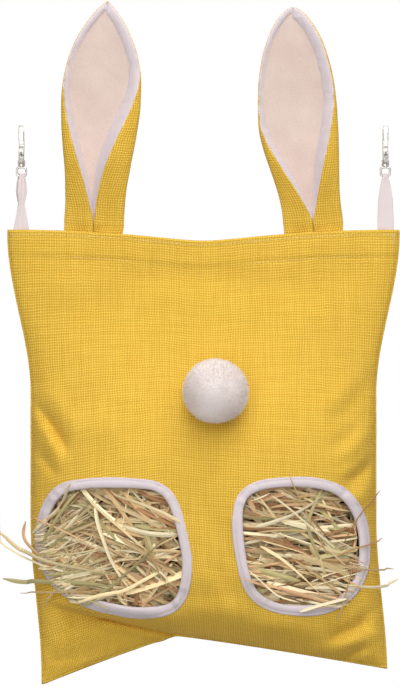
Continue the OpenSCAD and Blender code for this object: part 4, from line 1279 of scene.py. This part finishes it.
class HayBagColours(bpy.types.PropertyGroup):
    """Colours of each finish, as sRGB hex"""

    linen: colour("Linen", "Lit side of the linen's threads", "#f8d157")
    linen_gap: colour("Linen gaps", "Between the linen's threads", "#cf9c2c")
    tape: colour("Tape", "Binding tape and ear rims", "#ece0e2")
    tape_gap: colour("Tape gaps", "Between the tape's threads", "#cdbfc3")
    ribbon: colour("Ribbon", "Straps", "#e2d7d3")
    plush: colour("Plush", "Ear lining", "#dfcbbe")
    plush_shade: colour("Plush shade", "Roots of the lining's pile", "#d2bab0")
    yarn: colour("Yarn", "Pompom", "#f8f1ee")
    yarn_shade: colour("Yarn shade", "Between the pompom's fibres", "#e6dad5")
    thread: colour("Thread", "Stitches along the hem", "#f3d890")
    straw: colour("Straw", "Palest hay", "#eedfb8")
    hay_green: colour("Hay green", "Greener stems", "#b3a873")


class PieceOperator:
    """Shared by the operators that build one piece or group of like pieces."""

    bl_options = {"REGISTER", "UNDO"}


class HAYBAG_OT_panels(PieceOperator, bpy.types.Operator):
    """Build the front and back of the bag, with the front's two windows cut out"""

    bl_idname = "hay_bag.panels"
    bl_label = "Linen panels"

    def execute(self, context):
        build_panel(True)
        build_panel(False)
        return {"FINISHED"}


class HAYBAG_OT_hem(PieceOperator, bpy.types.Operator):
    """Build the facings inside the mouth and the stitches along the hem"""

    bl_idname = "hay_bag.hem"
    bl_label = "Hem"

    def execute(self, context):
        build_facing(True)
        build_facing(False)
        build_hem_stitches()
        return {"FINISHED"}


class HAYBAG_OT_bindings(PieceOperator, bpy.types.Operator):
    """Build the bias tape round both windows, with its stitches"""

    bl_idname = "hay_bag.bindings"
    bl_label = "Window bindings"

    def execute(self, context):
        for side in SIDES:
            build_binding(side)
        return {"FINISHED"}


class HAYBAG_OT_ears(PieceOperator, bpy.types.Operator):
    """Build both ears: linen backs, plush linings and tape rims"""

    bl_idname = "hay_bag.ears"
    bl_label = "Ears"

    def execute(self, context):
        for side in SIDES:
            build_ear(side)
        return {"FINISHED"}


class HAYBAG_OT_straps(PieceOperator, bpy.types.Operator):
    """Build the two ribbon straps"""

    bl_idname = "hay_bag.straps"
    bl_label = "Straps"

    def execute(self, context):
        for side in SIDES:
            build_strap(side)
        return {"FINISHED"}


class HAYBAG_OT_tail(PieceOperator, bpy.types.Operator):
    """Build the pompom tail and the thread that holds it"""

    bl_idname = "hay_bag.tail"
    bl_label = "Pompom tail"

    def execute(self, context):
        sizes = context.scene.hay_bag_sizes
        build_pompom(sizes.fibres, sizes.fibre_length)
        build_tie()
        return {"FINISHED"}


class HAYBAG_OT_hay(PieceOperator, bpy.types.Operator):
    """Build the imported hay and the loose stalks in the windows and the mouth"""

    bl_idname = "hay_bag.hay"
    bl_label = "Hay"

    def execute(self, context):
        sizes = context.scene.hay_bag_sizes
        build_wad()
        build_stalks("left", sizes.stalks, 5)
        build_stalks("right", int(sizes.stalks * 0.85), 8)
        build_loose_top(70, 9)
        return {"FINISHED"}


class HAYBAG_OT_clips(PieceOperator, bpy.types.Operator):
    """Give the swivel snap hooks their plating"""

    bl_idname = "hay_bag.clips"
    bl_label = "Snap hooks"

    def execute(self, context):
        dress_clips()
        return {"FINISHED"}


class HAYBAG_OT_stage(PieceOperator, bpy.types.Operator):
    """Build the floor, the lights and the camera"""

    bl_idname = "hay_bag.stage"
    bl_label = "Stage"

    def execute(self, context):
        build_stage()
        return {"FINISHED"}


OPERATORS = (HAYBAG_OT_stage, HAYBAG_OT_panels, HAYBAG_OT_hem, HAYBAG_OT_bindings, HAYBAG_OT_ears, HAYBAG_OT_straps,
             HAYBAG_OT_tail, HAYBAG_OT_hay, HAYBAG_OT_clips)


class HAYBAG_PT_panel(bpy.types.Panel):
    """Lists the bag's settings and pieces"""

    bl_label = "Hay bag"
    bl_idname = "HAYBAG_PT_panel"
    bl_space_type = "VIEW_3D"
    bl_region_type = "UI"
    bl_category = "Hay bag"

    def draw(self, context):
        for group in (context.scene.hay_bag_sizes, context.scene.hay_bag_colours):
            box = self.layout.box()
            for key in group.__annotations__:
                box.prop(group, key)
        for kind in OPERATORS:
            self.layout.operator(kind.bl_idname)


CLASSES = (HayBagSizes, HayBagColours, *OPERATORS, HAYBAG_PT_panel)


def register():
    for kind in CLASSES:
        bpy.utils.register_class(kind)
    bpy.types.Scene.hay_bag_sizes = bpy.props.PointerProperty(type=HayBagSizes)
    bpy.types.Scene.hay_bag_colours = bpy.props.PointerProperty(type=HayBagColours)


def unregister():
    del bpy.types.Scene.hay_bag_colours
    del bpy.types.Scene.hay_bag_sizes
    for kind in reversed(CLASSES):
        bpy.utils.unregister_class(kind)


def main():
    """Build every piece in order."""
    register()
    for kind in OPERATORS:
        group, name = kind.bl_idname.split(".")
        getattr(getattr(bpy.ops, group), name)()
    declare_cloth()


if __name__ == "__main__":
    main()
